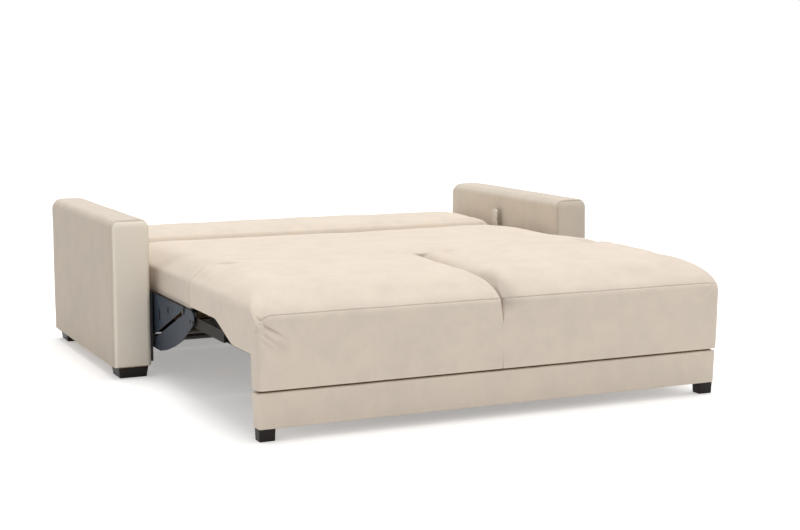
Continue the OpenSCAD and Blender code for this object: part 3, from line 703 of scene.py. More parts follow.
def rear_panel():
    """The panel between the arms at the rear: rings round X and Z stacked along Y, with rounded
    long edges behind, a flat face in front of its board and a hem line above its lower edge."""
    low = np.array([REAR_LOW[0] + REAR_CLEAR, REAR_LOW[2]])
    high = np.array([REAR_HIGH[0] - REAR_CLEAR, REAR_HIGH[2]])
    size = high - low
    sides = mirrored_sides(places(size[0], 12 * MM, 30 * MM, 50 * MM, 50 * MM),
                           places(size[1], 9 * MM, 18 * MM, 40 * MM, 40 * MM))
    roll = np.radians(np.linspace(0, 90, 7))
    edge = 11 * MM
    shut = closing_rows(size, [0] * 4, 6)[::-1]
    back = closing_rows(size, [edge] * 4, 10)
    turn = edge * (1 - np.cos(roll))
    insets = np.concatenate([shut, np.zeros((3, 4)), np.repeat(turn[:, None], 4, 1), back])
    front_y, rear_y = REAR_LOW[1] + 1.2 * MM, REAR_HIGH[1]
    along = np.concatenate([np.full(6, front_y), [front_y, front_y + 6 * MM, front_y + 12 * MM],
                            rear_y - edge + edge * np.sin(roll), np.full(10, rear_y)])
    radius = np.full((len(along), 4), 5 * MM)
    ring, _ = inset_rings(low, high, insets, radius, sides, 5)
    piece = new_piece("rear_panel_upholstery", [upright_grid(ring, along)], CLOTH, "frame")
    points, outward = finer(piece)
    behind = step_up(outward[:, 1], 0.3, 0.9)
    hem = bell(points[:, 2] - REAR_LOW[2] - 16 * MM, 2.5 * MM) * behind
    move = slack(points, 1.1 * MM, 0.4, 21) * behind - 1.0 * MM * hem
    move_points(piece, points + outward * move[:, None])
    # Painted shade along the pressed-in hem line
    paint(piece, "seam", 0.5 * hem)
    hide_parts("rear_panel_cover")


# Front edge of the underside panel along Y, and its thickness in millimetres
UNDERSIDE_FRONT = 0.77
UNDERSIDE_THICK = 3.2


def underside_shade_panel():
    """The thin black panel across the sofa's underside at the rear, between the arms and the rear
    panel: rings round X and Y stacked upward, bowed up a little in its middle. It is a dark sheet
    that stands in for the shade under the sofa, where the slots of the side plates look through."""
    low = np.array([REAR_LOW[0] + 0.5 * MM, UNDERSIDE_FRONT])
    high = np.array([REAR_HIGH[0] - 0.5 * MM, REAR_LOW[1] + 2 * MM])
    size = high - low
    sides = mirrored_sides(places(size[0], 12 * MM, 30 * MM, 30 * MM, 30 * MM),
                           places(size[1], 9 * MM, 20 * MM, 20 * MM, 20 * MM))
    shut = closing_rows(size, [0] * 4, 8)
    insets = np.concatenate([shut[::-1], np.zeros((3, 4)), shut])
    up = np.concatenate([np.zeros(8), np.linspace(0, UNDERSIDE_THICK, 3),
                         np.full(8, UNDERSIDE_THICK)]) * MM
    ring, _ = inset_rings(low, high, insets, np.full((len(up), 4), 4 * MM), sides, 3)
    u = (ring[..., 0] / high[0]) ** 2
    v = ((ring[..., 1] - low[1]) / size[1] * 2 - 1) ** 2
    height = ARM_LOW[2] + 1 * MM + up[:, None] + 2 * MM * (1 - u) * (1 - v)
    new_piece("underside_shade_panel", [level_grid(ring, height)], FELT, "frame", crease=40)


# Seat

# How far each half of the seat's cover stays clear of the middle
SPLIT = 0.6 * MM
SEAM_UP = 44 * MM
FALL_FRONT = 210 * MM
FALL_REAR = 15 * MM
# How far under the seam the front's ellipse ends
FALL_UNDER = 22 * MM
BORDER_HEM = 7.5 * MM
SEAT_CROWN = 8 * MM
DECK_Z = SEAT_LOW[2]
# Lower edge of the seat's side: its low and its high stretch, and the slope between them
SIDE_LOW_Z = SIDE_LOW[2] - 9.5 * MM
SIDE_REAR_Z = SIDE_LOW[2] + 51 * MM
SLOPE_REAR = SEAT_LOW[1] + 0.59 * (SEAT_HIGH[1] - SEAT_LOW[1])
SLOPE_FRONT = SLOPE_REAR - 2.67 * (SIDE_REAR_Z - SIDE_LOW_Z)
INNER_LOW_Z = SEAT_LOW[2] - 15 * MM
SEAM_Z = SEAT_LOW[2] + SEAM_UP
EDGE_Z = SEAT_HIGH[2] - 2 * MM


# How high the padding stands up, at most, in millimetres: at the seat's rear and the back's
# front, how much less that is on the right, and how much more the back's right side rises
SEAT_STAND, SEAT_LESS = 32, 8
BACK_STAND, BACK_LESS = 26, 9
RIGHT_STAND = 12
# Where the seat's ramp starts, and how long it is
RAMP_START, RAMP_RUN = -1.05, 0.67


def seat_rise(x, y):
    """How much the seat's padding stands up: a straight ramp from nothing at the front to the
    most near the rear, which is a little less on the right."""
    ramp = np.clip((y - RAMP_START) / RAMP_RUN, 0, 1)
    return (SEAT_STAND - SEAT_LESS * step_up(x, -0.7, 0.7)) * MM * ramp


def back_rise(x, y):
    """The same for the back section: the most along its front edge, falling off to the rear,
    and some more on the right as far as the head section."""
    front = (BACK_STAND - BACK_LESS * step_up(x, 0.0, 0.8)) * MM
    right = RIGHT_STAND * MM * step_up(x, 0.3, 0.8)
    return front * (1 - step_up(y, -0.36, 0.02)) + right * (1 - step_up(y, 0.3, 0.58))


def lower_edge(x, y):
    """Height of the seat cover's lower edge: down to the groove round the front panel, then the
    side's low stretch, a straight slope and its high stretch, and, away from the sides, just
    under the cushion."""
    slope = np.clip((y - SLOPE_FRONT) / (SLOPE_REAR - SLOPE_FRONT), 0, 1)
    side = SIDE_LOW_Z + (SIDE_REAR_Z - SIDE_LOW_Z) * slope
    behind = np.where(x > SEAT_HIGH[0] - 30 * MM, side, INNER_LOW_Z)
    at_front = y < BORDER_HIGH[1] - 0.5 * MM
    return np.where(at_front, BORDER_LOW[2] - BORDER_HEM, behind)


# How far in from the outer side the seam's tip lies, and how wide its dip is
TIP_IN = 9 * MM
TIP_WIDE = 21 * MM


def seat_grid(quick, tip_drop, corner, fall_side, fall_split):
    """One seat cover as rings round X and Y. They spread over the crowned top, roll down by
    quarter ellipses that are long at the front and short elsewhere, reach the seam, hang down as
    a skirt to the lower edge, turn in at the hem, rise inside and close under the cushion. The
    front's ellipse ends a little under the seam, where the skirt takes over its last stretch.
    tip_drop is how far the seam dips at its outer tip, corner the radius of the skirt's corners,
    and fall_side and fall_split how wide the top rolls down at the outer side and the split."""
    low = np.array([SPLIT, SEAT_LOW[1]])
    high = np.array([SEAT_HIGH[0], SEAT_HIGH[1]])
    size = high - low
    wide = size[0] - 2 * corner
    deep = size[1] - 2 * corner
    panel_back = (BORDER_HIGH[1] - SEAT_LOW[1] - corner) / deep
    front = places(wide, 7 * MM, 15 * MM, 60 * MM, 110 * MM)
    front = np.concatenate([front[front < 1 - 110 * MM / wide],
                            1 - (110 * MM - even(0, 110 * MM, 5 * MM)) / wide])
    outer = places(deep, 7 * MM, 14 * MM, 110 * MM, 30 * MM)
    step = 0.6 * MM / deep
    outer = np.sort(np.concatenate([outer[np.abs(outer - panel_back) > 4 * step],
                                    [panel_back - 1.5 * step, panel_back + 0.5 * step]]))
    sides = mirrored_sides(front, outer)
    falls = np.array([fall_split, FALL_FRONT, fall_side, FALL_REAR])
    top = closing_rows(size, falls, 22)[::-1]
    angle = np.radians(90 * np.array([1, .93, .86, .79, .72, .65, .58, .51, .44, .37, .3, .24,
                                      .18, .13, .085, .05, .025, 0]))
    roll = falls[None] * (1 - np.cos(angle))[:, None]
    drop = EDGE_Z - SEAM_Z
    past_seam = np.clip((np.sin(angle) * drop + FALL_UNDER) / (drop + FALL_UNDER), 0, 1)
    roll[:, 1] = FALL_FRONT * (1 - np.sqrt(1 - past_seam ** 2))
    skirt = np.concatenate([[.005, .012], np.linspace(.022, .42, 19), [.46, .52, .59, .67, .76,
                                                                       .85, .92, .97, 1]])
    still = FALL_UNDER - skirt * (SEAM_Z - BORDER_LOW[2] + BORDER_HEM)
    skirt_in = np.zeros((len(skirt), 4))
    left = np.clip(still / (drop + FALL_UNDER), 0, 1)
    skirt_in[:, 1] = FALL_FRONT * (1 - np.sqrt(1 - left ** 2))
    hem = 5 * MM
    turn = np.radians([22, 45, 68, 90])
    thick = np.array([8, 45, 15, 15]) * MM
    rise = np.array([0, .12, .3, .55, 1])
    shut = closing_rows(size, thick, 6)
    insets = np.concatenate([top, roll, skirt_in,
                             np.repeat(hem * (1 - np.cos(turn))[:, None], 4, 1),
                             np.repeat(thick[None], len(rise), 0), shut])
    counts = [len(top), len(roll), len(skirt), len(turn), len(rise), len(shut)]
    bounds = np.cumsum([0] + counts)
    radius = np.full((len(insets), 4), corner)
    radius[:bounds[2], 0] = 16 * MM
    radius[bounds[0]:bounds[1]] = np.linspace(8 * MM, 2 * corner, counts[0])[:, None]
    radius[bounds[1]:bounds[2]] = np.linspace(2 * corner, corner, counts[1])[:, None]
    radius[bounds[2]:bounds[4], 0] = np.concatenate(
        [18 * MM * (1 - step_up(skirt, 0.0, 0.45)) + 1.5 * MM, np.full(len(turn), 1.5 * MM)])
    radius[bounds[1]:bounds[2], 2] = np.linspace(30, 8, counts[1]) * MM
    radius[bounds[2]:bounds[4], 2] = 7 * MM
    radius[bounds[4]:] = 2 * MM
    ring, outward = inset_rings(low, high, insets, radius, sides, 9)
    outline = ring[bounds[3] - 1]
    ring[bounds[4]:bounds[5]] = (outline - outward * wall_thickness(outward))[None]
    height = np.zeros(ring.shape[:2])
    x, y = ring[..., 0], ring[..., 1]
    middle = (low + falls[:2] + high - falls[2:]) / 2
    half = (size - falls[:2] - falls[2:]) / 2
    u = np.clip((x - middle[0]) / half[0], -1, 1)
    v = np.clip((y - middle[1]) / half[1], -1, 1)
    crown = ((1 - u ** 2) * (1 - v ** 2)) ** 1.3
    swell = 0 if quick else 5 * MM
    cap_rows = slice(bounds[0], bounds[1])
    height[cap_rows] = (EDGE_Z - swell + SEAT_CROWN * crown)[cap_rows]
    tip = np.hypot(outline[:, 0] - (SEAT_HIGH[0] - TIP_IN), outline[:, 1] - SEAT_LOW[1])
    seam = SEAM_Z - tip_drop * bell(tip, TIP_WIDE)
    rolled = np.sin(angle)[:, None]
    height[bounds[1]:bounds[2]] = seam[None] + (EDGE_Z - swell - seam)[None] * rolled
    lowest = lower_edge(outline[:, 0], outline[:, 1])
    height[bounds[2]:bounds[3]] = seam - (seam - lowest - hem) * skirt[:, None]
    height[bounds[3]:bounds[4]] = lowest + hem * (1 - np.sin(turn))[:, None]
    height[bounds[4]:bounds[5]] = lowest + (DECK_Z - lowest) * rise[:, None]
    height[bounds[5]:] = DECK_Z
    return level_grid(ring, height)


def wall_thickness(outward):
    """How thick the skirt is: a padded board of 45 mm across the front, 15 mm at the outer side
    and the rear, and 8 mm at the split."""
    front = step_up(-outward[:, 1], 0.2, 0.95)
    inner = step_up(-outward[:, 0], 0.3, 0.9)
    return ((15 + 30 * front - 7 * inner * (1 - front)) * MM)[:, None]


# Wrinkles at the front corner, each from one point to another: across and down from the seam's
# tip for both points, then its depth and its half width, all in millimetres
FRONT_CREASES = [(6, -8, 40, 24, 2.8, 3.0), (0, 0, 98, 58, 5.2, 4.0), (8, 20, 62, 74, 3.2, 5.0),
                 (0, 36, 58, 92, 2.6, 7.0), (50, 52, 112, 104, 2.6, 13.0)]
SIDE_CREASES = [(1, 4, 24, 40, 2.6, 3.2)]


def creases(across, down, strokes):
    """Depth of wrinkles at points across and down from the seam's tip. Each is a bell across its
    line, bent a little and faded in and out along it, with a low ridge on its lower side."""
    depth = np.zeros(len(across))
    for from_across, from_down, to_across, to_down, deep, width in strokes:
        run = np.array([to_across - from_across, to_down - from_down]) * MM
        length = np.linalg.norm(run)
        way = run / length
        first = across - from_across * MM
        second = down - from_down * MM
        along = (first * way[0] + second * way[1]) / length
        beside = second * way[0] - first * way[1]
        bend = beside + 2.5 * MM * np.sin(along * 5 + deep)
        fade = step_up(along, -0.08, 0.32) * (1 - step_up(along, 0.4, 1.05))
        ridge = bell(bend - 2 * width * MM, width * 1.1 * MM)
        depth += fade * deep * MM * (bell(bend, width * MM) - 0.5 * ridge)
    return depth


# The small folds on the seat's outer side, behind its front corner: how deep they are, and
# where their middle lies along Y and Z
FOLD_DEEP = 1.3 * MM
FOLD_Y, FOLD_Z = -0.985, 0.345
# How dark the painted shade on the seat's cloth gets, at most: in the crevice between the halves,
# towards the front and on the left flank
CREVICE_RIGHT, CREVICE_LEFT = 1.2, 0.8
FRONT_SHADE = 0.09
FLANK = 0.27


def seat_cover(side, name, node, side_node, share, tip_drop, corner, fall_side, fall_split):
    """One half of the seat's cover. The cushion is swollen by simulation above its seam, and then
    gets its seam, corner wrinkles, folds on its side and the slack of its cloth. Painted shade
    darkens the seam, the wrinkles, the crevice between the halves, the rear edge, the top towards
    the front and the left flank. share is how much of the wrinkles' depth this half has."""
    grid = seat_grid(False, tip_drop, corner, fall_side, fall_split)
    grid = grid * np.array([side, 1, 1])
    piece = new_piece(name, [grid], CLOTH_TOP, "seat")
    points = rows_of(piece.data.vertices, "co")
    outer_wall = step_up(points[:, 2], SEAM_Z + 6 * MM, SEAM_Z + 40 * MM)
    under = points[:, 2] < DECK_Z + 1 * MM
    inflate(piece, np.where(under, 1, 1 - 0.98 * outer_wall))
    points, outward = finer(piece)
    x, y, z = np.abs(points[:, 0]), points[:, 1], points[:, 2]
    tip_x, tip_y, tip_z = SEAT_HIGH[0] - TIP_IN, SEAT_LOW[1], SEAM_Z - tip_drop
    tip = np.hypot(x - tip_x, np.clip(y - tip_y, 0, None))
    seam_z = SEAM_Z - tip_drop * bell(tip, TIP_WIDE)
    front = step_up(-outward[:, 1], 0.1, 0.45) * (y < SEAT_LOW[1] + 60 * MM)
    seam = bell(z - seam_z, 1.5 * MM) * front * (1 - step_up(x, tip_x - 2 * MM, tip_x + 6 * MM))
    below = z < SEAM_Z - 2 * MM
    wrinkles = creases(tip_x - x, tip_z - z, FRONT_CREASES) * front * (x < tip_x + 4 * MM)
    facing = side * outward[:, 0]
    turned = step_up(facing, 0.6, 0.9) * (z > BORDER_LOW[2])
    wrinkles = share * (wrinkles + creases(y - tip_y, tip_z - z, SIDE_CREASES) * turned)
    wavy = slack(points, 0.5 * MM, 30 * MM, 31) * bell(z - seam_z, 12 * MM) * front
    outer = step_up(facing, 0.4, 0.9) * (z > SIDE_LOW_Z)
    folds = FOLD_DEEP * np.sin((y - 0.35 * z) * 150) * bell(y - FOLD_Y, 45 * MM)
    folds = folds * bell(z - FOLD_Z, 40 * MM) * outer
    loose = slack(points, 1.5 * MM, 0.30, 41) * (1 - 0.7 * below)
    hang = np.clip((SEAM_Z - z) / (SEAM_Z - BORDER_LOW[2]), 0, 1)
    bulge = 3 * MM * np.sin(np.pi * hang ** 0.8)
    swell = 3.5 * MM * bell(z - SEAM_Z + 12 * MM, 55 * MM) * outer
    not_under = step_up(outward[:, 2], -0.95, -0.5)
    near_split = bell(x, 12 * MM) * (np.abs(outward[:, 0]) > 0.7)
    move = loose * (1 - near_split) + bulge * front * (1 - near_split)
    move = move - 1.3 * MM * seam - wrinkles + wavy + folds + swell
    hidden = (outward[:, 1] > 0.5) & (y < SEAT_LOW[1] + 70 * MM)
    move = np.where(hidden | (z < BORDER_LOW[2] - BORDER_HEM + 1 * MM), 0, move * not_under)
    points[:, 2] += seat_rise(points[:, 0], y) * step_up(z, SEAM_Z, EDGE_Z - 6 * MM)
    move_points(piece, points + outward * move[:, None])
    # Painted shade: in the wrinkles, in the crevice between the halves, at the rear edge, on the
    # top towards the front and on the left flank
    crease = np.clip(wrinkles / (8 * MM), 0, 0.4)
    reach = (38 + 20 * step_up(-y, 0.7, 1.05)) * MM
    crevice = CREVICE_RIGHT * bell(x, reach) if side > 0 else CREVICE_LEFT * bell(x, 9 * MM)
    crevice = crevice * step_up(z, SEAM_Z - 60 * MM, SEAM_Z)
    behind = bell(y - SEAT_HIGH[1], 16 * MM) * (1 - bell(x, 80 * MM))
    behind = behind * np.where(facing > 0.35, 1.0, 0.4)
    front_shade = FRONT_SHADE * step_up(-y, 0.7, 1.0) * step_up(z, SEAM_Z - 5 * MM, SEAM_Z + 15 * MM)
    flank = FLANK * step_up(facing, 0.15, 0.85) * (side < 0)
    shades = crease + crevice + behind + front_shade + flank
    # Painted shade along the seam, together with the shades above
    paint(piece, "seam", np.clip(seam * 1.1 + shades, 0, 1))
    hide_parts(node, side_node, "seat_front_border")


def plinth():
    """The covered board under the groove: rings round X and Y stacked upward, with small round
    edges, its ends leaning in a little towards the floor."""
    low = PLINTH_LOW[:2]
    high = np.array([PLINTH_HIGH[0], PLINTH_HIGH[1] - 1.2 * MM])
    size = high - low
    sides = mirrored_sides(places(size[0], 10 * MM, 24 * MM, 60 * MM, 60 * MM),
                           places(size[1], 8 * MM, 10 * MM, 10 * MM, 10 * MM))
    edge = 4 * MM
    turn = np.radians([0, 22, 45, 68, 90])
    tall = PLINTH_HIGH[2] - PLINTH_LOW[2]
    shut = closing_rows(size, [edge] * 4, 4)
    walls = np.linspace(0.06, 0.94, 9)
    round_in = edge * (1 - np.sin(turn))
    insets = np.concatenate([shut[::-1], np.repeat(round_in[:, None], 4, 1),
                             np.zeros((len(walls), 4)),
                             np.repeat(round_in[::-1][:, None], 4, 1), shut])
    up = np.concatenate([np.zeros(4), edge * (1 - np.cos(turn)), walls * tall,
                         tall - edge * (1 - np.cos(turn[::-1])), np.full(4, tall)])
    radius = np.full((len(up), 4), 6 * MM)
    ring, _ = inset_rings(low, high, insets, radius, sides, 5)
    ring[..., 0] *= 1 - 0.006 * (1 - up / tall)[:, None]
    grid = level_grid(ring, (PLINTH_LOW[2] + up)[:, None])
    piece = new_piece("plinth_upholstery", [grid], CLOTH_TOP, "seat")
    points, outward = finer(piece)
    front = step_up(-outward[:, 1], 0.3, 0.9)
    move = slack(points, 0.8 * MM, 0.22, 51) * front
    move_points(piece, points + outward * move[:, None])
    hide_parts("seat_plinth")


def groove_strip():
    """The brown strip in the shadow groove between plinth and border, set back from both."""
    back_in = 13 * MM
    low = np.array([PLINTH_LOW[0] + back_in, PLINTH_LOW[1] + back_in])
    high = np.array([PLINTH_HIGH[0] - back_in, BOARD_LOW[1] - 0.5 * MM])
    size = high - low
    sides = mirrored_sides(places(size[0], 20 * MM, 40 * MM, 40 * MM, 40 * MM),
                           places(size[1], 6 * MM, 6 * MM, 6 * MM, 6 * MM))
    shut = closing_rows(size, [0] * 4, 3)
    insets = np.concatenate([shut[::-1], np.zeros((5, 4)), shut])
    tall = BORDER_LOW[2] - PLINTH_HIGH[2] + 4 * MM
    up = np.concatenate([np.zeros(3), np.linspace(0, tall, 5), np.full(3, tall)])
    bow = 1.5 * MM * np.sin(np.pi * up / tall)[:, None]
    ring, outward = inset_rings(low, high, insets, np.full((len(up), 4), 3 * MM), sides, 3)
    ring = ring + outward[None] * bow[..., None]
    grid = level_grid(ring, (PLINTH_HIGH[2] - 2 * MM + up)[:, None])
    new_piece("groove_strip", [grid], GROOVE_SHADE_CLOTH, "seat")


# Back and head sections

def pad_grid(low, high, rim, edge_z, falls, crown, corner, quick):
    """A section's padded cover as rings round X and Y. They spread over the crowned top, roll down
    by quarter ellipses to the seam, go down the side, turn under, and close above the board."""
    size = high[:2] - low[:2]
    sides = mirrored_sides(places(size[0] - 2 * corner, 9 * MM, 20 * MM, 60 * MM, 60 * MM),
                           places(size[1] - 2 * corner, 9 * MM, 18 * MM, 60 * MM, 60 * MM))
    rows = max(12, int((size.min() - 120 * MM) / 2 / (17 * MM)))
    top = closing_rows(size, falls, rows)[::-1]
    angle = np.radians(90 * np.array([1, .9, .8, .7, .6, .5, .4, .3, .2, .12, .06, 0]))
    roll = falls[None] * (1 - np.cos(angle))[:, None]
    wall = np.array([.03, .08, .16, .26, .38, .5, .62, .74, .85, .93, 1])
    hem = 7 * MM
    turn = np.radians([22, 45, 68, 90])
    inside = np.array([0, .5, 1])
    thick = 14 * MM
    shut = closing_rows(size, [thick] * 4, 5)
    insets = np.concatenate([top, roll, np.zeros((len(wall), 4)),
                             np.repeat(hem * (1 - np.cos(turn))[:, None], 4, 1),
                             np.full((len(inside), 4), thick), shut])
    counts = [len(top), len(roll), len(wall), len(turn), len(inside), len(shut)]
    bounds = np.cumsum([0] + counts)
    radius = np.full((len(insets), 4), corner)
    radius[:bounds[1]] = np.linspace(8, 42, counts[0])[:, None] * MM
    radius[bounds[1]:bounds[2]] = np.linspace(42 * MM, corner, counts[1])[:, None]
    radius[bounds[4]:] = 8 * MM
    ring, outward = inset_rings(low[:2], high[:2], insets, radius, sides)
    x, y = ring[..., 0], ring[..., 1]
    middle = (low[:2] + falls[:2] + high[:2] - falls[2:]) / 2
    half = (size - falls[:2] - falls[2:]) / 2
    u = np.clip((x - middle[0]) / half[0], -1, 1)
    v = np.clip((y - middle[1]) / half[1], -1, 1)
    dome = ((1 - u ** 2) * (1 - v ** 2)) ** 1.2
    swell = 0 if quick else 5 * MM
    height = np.zeros(ring.shape[:2])
    height[:bounds[1]] = (edge_z - swell + crown * dome)[:bounds[1]]
    height[bounds[1]:bounds[2]] = rim + (edge_z - swell - rim) * np.sin(angle)[:, None]
    height[bounds[2]:bounds[3]] = rim - (rim - low[2] - hem) * wall[:, None]
    height[bounds[3]:bounds[4]] = low[2] + hem * (1 - np.sin(turn))[:, None]
    height[bounds[4]:bounds[5]] = low[2] + 20 * MM * inside[:, None]
    height[bounds[5]:] = low[2] + 20 * MM
    drawn = np.zeros(ring.shape[:2])
    level = slice(bounds[1], bounds[4])
    w = np.abs(outward[None, :, 0]) * (1 - v ** 2) + np.abs(outward[None, :, 1]) * (1 - u ** 2)
    drawn[level] = 3 * MM * np.clip(w, 0, 1)[level]
    return level_grid(ring - outward[None] * drawn[..., None], height)


# How far the back's cover hangs down past its solid, behind its front edge
BACK_HEM = 11 * MM
# How dark the painted shade on its cloth gets, at most: near the arms' fronts, at them, and where
# it meets the seat
ARM_SHADE, ARM_LINE, SEAT_LINE = 0.95, 0.4, 1.2


def section_pad(name, node, body, rim_up, edge_up, falls, crown, seed, front_line, arm_shade):
    """The padded cover of the back or head section, swollen by simulation above its rim. The
    back's padding stands up toward the seat, and its lower edge hangs down beside the side
    plates. rim_up and edge_up are how high the rim and the top's edge lie above the solid's
    underside, falls how wide the top rolls down at low X, low Y, high X and high Y, crown how
    much higher its middle is, seed what its unevenness is drawn from, front_line the width of
    the line of painted shade at its front edge, and arm_shade the strength of the painted shade
    between the arms. Painted shade also darkens its seam and its rear edge."""
    low, high = edges_of(node)
    rim, edge_z = low[2] + rim_up, low[2] + edge_up
    grid = pad_grid(low, high, rim, edge_z, np.array(falls), crown, 22 * MM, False)
    piece = new_piece(name, [grid], CLOTH_TOP, body)
    height = rows_of(piece.data.vertices, "co")[:, 2]
    free = step_up(height, rim + 4 * MM, rim + 34 * MM)
    inflate(piece, 1 - 0.98 * free)
    points, outward = finer(piece)
    y, z = points[:, 1], points[:, 2]
    side = np.hypot(outward[:, 0], outward[:, 1]) > 0.5
    move = slack(points, 1.4 * MM, 0.32, seed) * np.where(side, 0.45, 1.0)
    move = np.where(outward[:, 2] < -0.4, 0, np.where(side, np.minimum(move, 0.3 * MM), move))
    seam = bell(z - (low[2] + 9 * MM), 1.6 * MM) * side
    move = move - 1.2 * MM * seam
    if body == "back":
        points[:, 2] += back_rise(points[:, 0], y) * step_up(z, rim, edge_z - 6 * MM)
        hanging = BACK_HEM * step_up(y, low[1] + 2 * MM, low[1] + 42 * MM)
        points[:, 2] -= hanging * (1 - step_up(z, low[2] + 2 * MM, low[2] + 18 * MM))
    move_points(piece, points + outward * move[:, None])
    # Painted shade: at the front and rear edges, near and at the arms, where it meets the seat,
    # and along the seam
    near = bell(y - low[1], front_line) + bell(y - high[1], 8 * MM)
    near = near + 0.45 * arm_shade * bell(y - low[1], 45 * MM)
    turned = step_up(np.hypot(outward[:, 0], outward[:, 1]), 0.3, 0.9)
    turned = np.maximum(turned, 0.9 * step_up(-points[:, 0], 0.67, 0.84))
    by_arm = y - ARM_LOW[1]
    contact = ARM_SHADE * bell(by_arm, 0.38) + ARM_LINE * bell(by_arm, 0.045)
    contact = contact + SEAT_LINE * bell(y - low[1], 26 * MM)
    shades = seam * 0.7 + 0.45 * near * ~side + arm_shade * contact * turned
    paint(piece, "seam", np.clip(shades, 0, 1))
    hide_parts(node)


# Feet

def block_grid(low, high, top_half, foot_half, centre, edge):
    """A block whose sides lean: rings round X and Y stacked upward, with small rounded edges.
    Each ring's half width goes straight from foot_half at the bottom to top_half at the top."""
    turn = np.radians([0, 30, 60, 90])
    tall = high - low
    up = np.concatenate([[0, 0], edge * (1 - np.cos(turn)), np.linspace(0.2, 0.8, 3) * tall,
                         tall - edge * (1 - np.cos(turn[::-1])), [tall, tall]])
    shrink = np.concatenate([[1, 0.5], np.zeros(11), [0.5, 1]])
    draw = np.concatenate([[edge, edge], edge * (1 - np.sin(turn)), np.zeros(3),
                           edge * (1 - np.sin(turn[::-1])), [edge, edge]])
    half = foot_half + (top_half - foot_half) * (up / tall)[:, None] - draw[:, None]
    half = half * (1 - shrink)[:, None]
    centre = np.array(centre)[None]
    steps = np.linspace(0, 1, 5)[1:-1]
    radius = np.minimum(np.full((len(up), 4), 2.5 * MM), half.min(1)[:, None])
    ring, _ = rounded_rings(centre - half, centre + half, radius, [steps] * 4, 4)
    return level_grid(ring, (low + up)[:, None])


# Half widths of the feet at the top, how much less they are at the floor, and their edges
ARM_FOOT_HALF = 57.5 * MM
ARM_FOOT_TAPER = 6 * MM
SEAT_FOOT_HALF = 27.5 * MM
SEAT_FOOT_TAPER = 1.5 * MM
FOOT_EDGE = 1.2 * MM


def feet():
    """Four tapered blocks under the arms and two straight ones under the plinth."""
    low, high = edges_of("arm_feet")
    half = np.array([ARM_FOOT_HALF, ARM_FOOT_HALF])
    spots = [(sx * (high[0] - half[0]), y) for sx in (-1, 1)
             for y in (low[1] + half[1], high[1] - half[1])]
    grids = [block_grid(low[2], high[2], half, half - ARM_FOOT_TAPER, spot, FOOT_EDGE)
             for spot in spots]
    arm = new_piece("arm_foot_blocks", grids, FEET, "frame", crease=40)
    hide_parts("arm_feet")
    low, high = edges_of("seat_feet")
    half = np.array([SEAT_FOOT_HALF, (high[1] - low[1]) / 2])
    spots = [(sx * (high[0] - half[0]), (low[1] + high[1]) / 2) for sx in (-1, 1)]
    grids = [block_grid(low[2], high[2], half, half - SEAT_FOOT_TAPER, spot, FOOT_EDGE)
             for spot in spots]
    seat = new_piece("seat_foot_blocks", grids, FEET, "seat", crease=40)
    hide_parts("seat_feet")


# Studio

FLOOR_TONE = (0.87, 0.87, 0.87)
FLOOR_TONE_SEEN = (0.97, 0.97, 0.97)
# What camera rays see the floor give off: a glow that also lightens the shadows on it
FLOOR_GLOW_SEEN = (0.34, 0.34, 0.34)
FLOOR_REACH = 60.0
SKY_COLOUR = (1.0, 0.99, 0.975, 1)
SKY_STRENGTH = 0.53
LAMP_COLOUR = (1.0, 0.985, 0.965)
LAMP_STRENGTH = 1.8
LAMP_SPREAD = math.radians(38)
LAMP_TURN = (math.radians(-11), math.radians(9), 0)


def seen_rays(nodes):
    """One for rays from the camera, from a reflection or through glass, and nought for light."""
    path = nodes.node("ShaderNodeLightPath")
    seen = Value(nodes, path.outputs["Is Camera Ray"])
    for ray in ("Is Glossy Ray", "Is Transmission Ray"):
        seen = seen.larger(Value(nodes, path.outputs[ray]))
    return seen


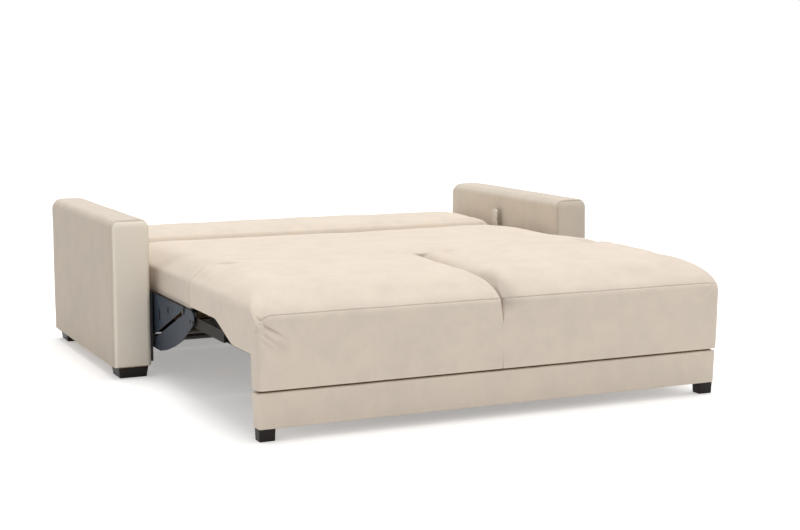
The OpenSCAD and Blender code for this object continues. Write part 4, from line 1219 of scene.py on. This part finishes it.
def studio():
    """A pale floor, an even sky and one broad soft lamp. Camera rays see a white floor and sky,
    and the light that floor and sky give the sofa stays at a plain level."""
    f = Finish("pale_studio_floor")
    seen = seen_rays(f)
    dust = f.noise(f.place(), 3.0, 2.0)
    tone = f.mixed(seen, FLOOR_TONE, FLOOR_TONE_SEEN)
    glow = f.mixed(seen, (0.0, 0.0, 0.0), FLOOR_GLOW_SEEN)
    f.surface(tone, 0.9 + 0.05 * (dust - 0.5),
              constants={"Emission Color": glow, "Emission Strength": 1.0,
                         "Specular IOR Level": 0.0})
    mesh = bpy.data.meshes.new("studio_floor")
    corners = [(x * FLOOR_REACH, y * FLOOR_REACH, 0) for x, y in
               [(-1, -1), (1, -1), (1, 1), (-1, 1)]]
    mesh.from_pydata(corners, [], [(0, 1, 2, 3)])
    mesh.materials.append(f.material)
    floor = bpy.data.objects.new("studio_floor", mesh)
    bpy.context.scene.collection.objects.link(floor)

    world = bpy.data.worlds.new("studio_sky")
    bpy.context.scene.world = world
    world.use_nodes = True
    sky = Nodes(world.node_tree)
    seen = seen_rays(sky)
    light = sky.node("ShaderNodeBackground", None, {0: SKY_COLOUR, 1: SKY_STRENGTH})
    white = sky.node("ShaderNodeBackground", None, {0: (1, 1, 1, 1), 1: 1.0})
    both = sky.node("ShaderNodeMixShader", None,
                    {0: seen, 1: light.outputs[0], 2: white.outputs[0]})
    sky.node("ShaderNodeOutputWorld", None, {0: both.outputs[0]})

    lamp = bpy.data.lights.new("soft_lamp", "SUN")
    lamp.energy = LAMP_STRENGTH
    lamp.angle = LAMP_SPREAD
    lamp.color = LAMP_COLOUR
    key = bpy.data.objects.new("soft_lamp", lamp)
    key.rotation_euler = LAMP_TURN
    bpy.context.scene.collection.objects.link(key)


CAMERA_LENS = 70.335
CAMERA_SENSOR = 36
CAMERA_REACH = 200
CAMERA_PLACE = (-2.501, -5.5965, 1.216)
CAMERA_TURN = (math.radians(82.30), 0, math.radians(-25.04))


def camera():
    """The camera at the photograph's place: low, in front of the left corner, long lens."""
    lens = bpy.data.cameras.new("camera")
    lens.sensor_width = CAMERA_SENSOR
    lens.lens = CAMERA_LENS
    lens.clip_end = CAMERA_REACH
    view = bpy.data.objects.new("camera", lens)
    view.location = CAMERA_PLACE
    view.rotation_euler = CAMERA_TURN
    bpy.context.scene.collection.objects.link(view)
    bpy.context.scene.camera = view


bpy.context.scene.view_settings.view_transform = "Standard"
camera()
studio()
dress_nodes()
arm_cover(-1, "left_arm_upholstery", "left_arm_cover")
arm_cover(1, "right_arm_upholstery", "right_arm_cover")
rear_panel()
underside_shade_panel()
seat_cover(-1, "left_seat_upholstery", "left_seat_cushion", "left_seat_side", share=1.0,
           tip_drop=22 * MM, corner=20 * MM, fall_side=95 * MM, fall_split=26 * MM)
seat_cover(1, "right_seat_upholstery", "right_seat_cushion", "right_seat_side", share=0.25,
           tip_drop=4 * MM, corner=10 * MM, fall_side=28 * MM, fall_split=78 * MM)
plinth()
groove_strip()
section_pad("back_upholstery", "back_pad", "back", rim_up=79 * MM, edge_up=133 * MM,
            falls=(110 * MM, 22 * MM, 26 * MM, 16 * MM), crown=12 * MM, seed=61,
            front_line=6 * MM, arm_shade=0.8)
section_pad("head_upholstery", "head_pad", "head", rim_up=100 * MM, edge_up=176 * MM,
            falls=(50 * MM, 30 * MM, 26 * MM, 60 * MM), crown=14 * MM, seed=71,
            front_line=14 * MM, arm_shade=0)
feet()
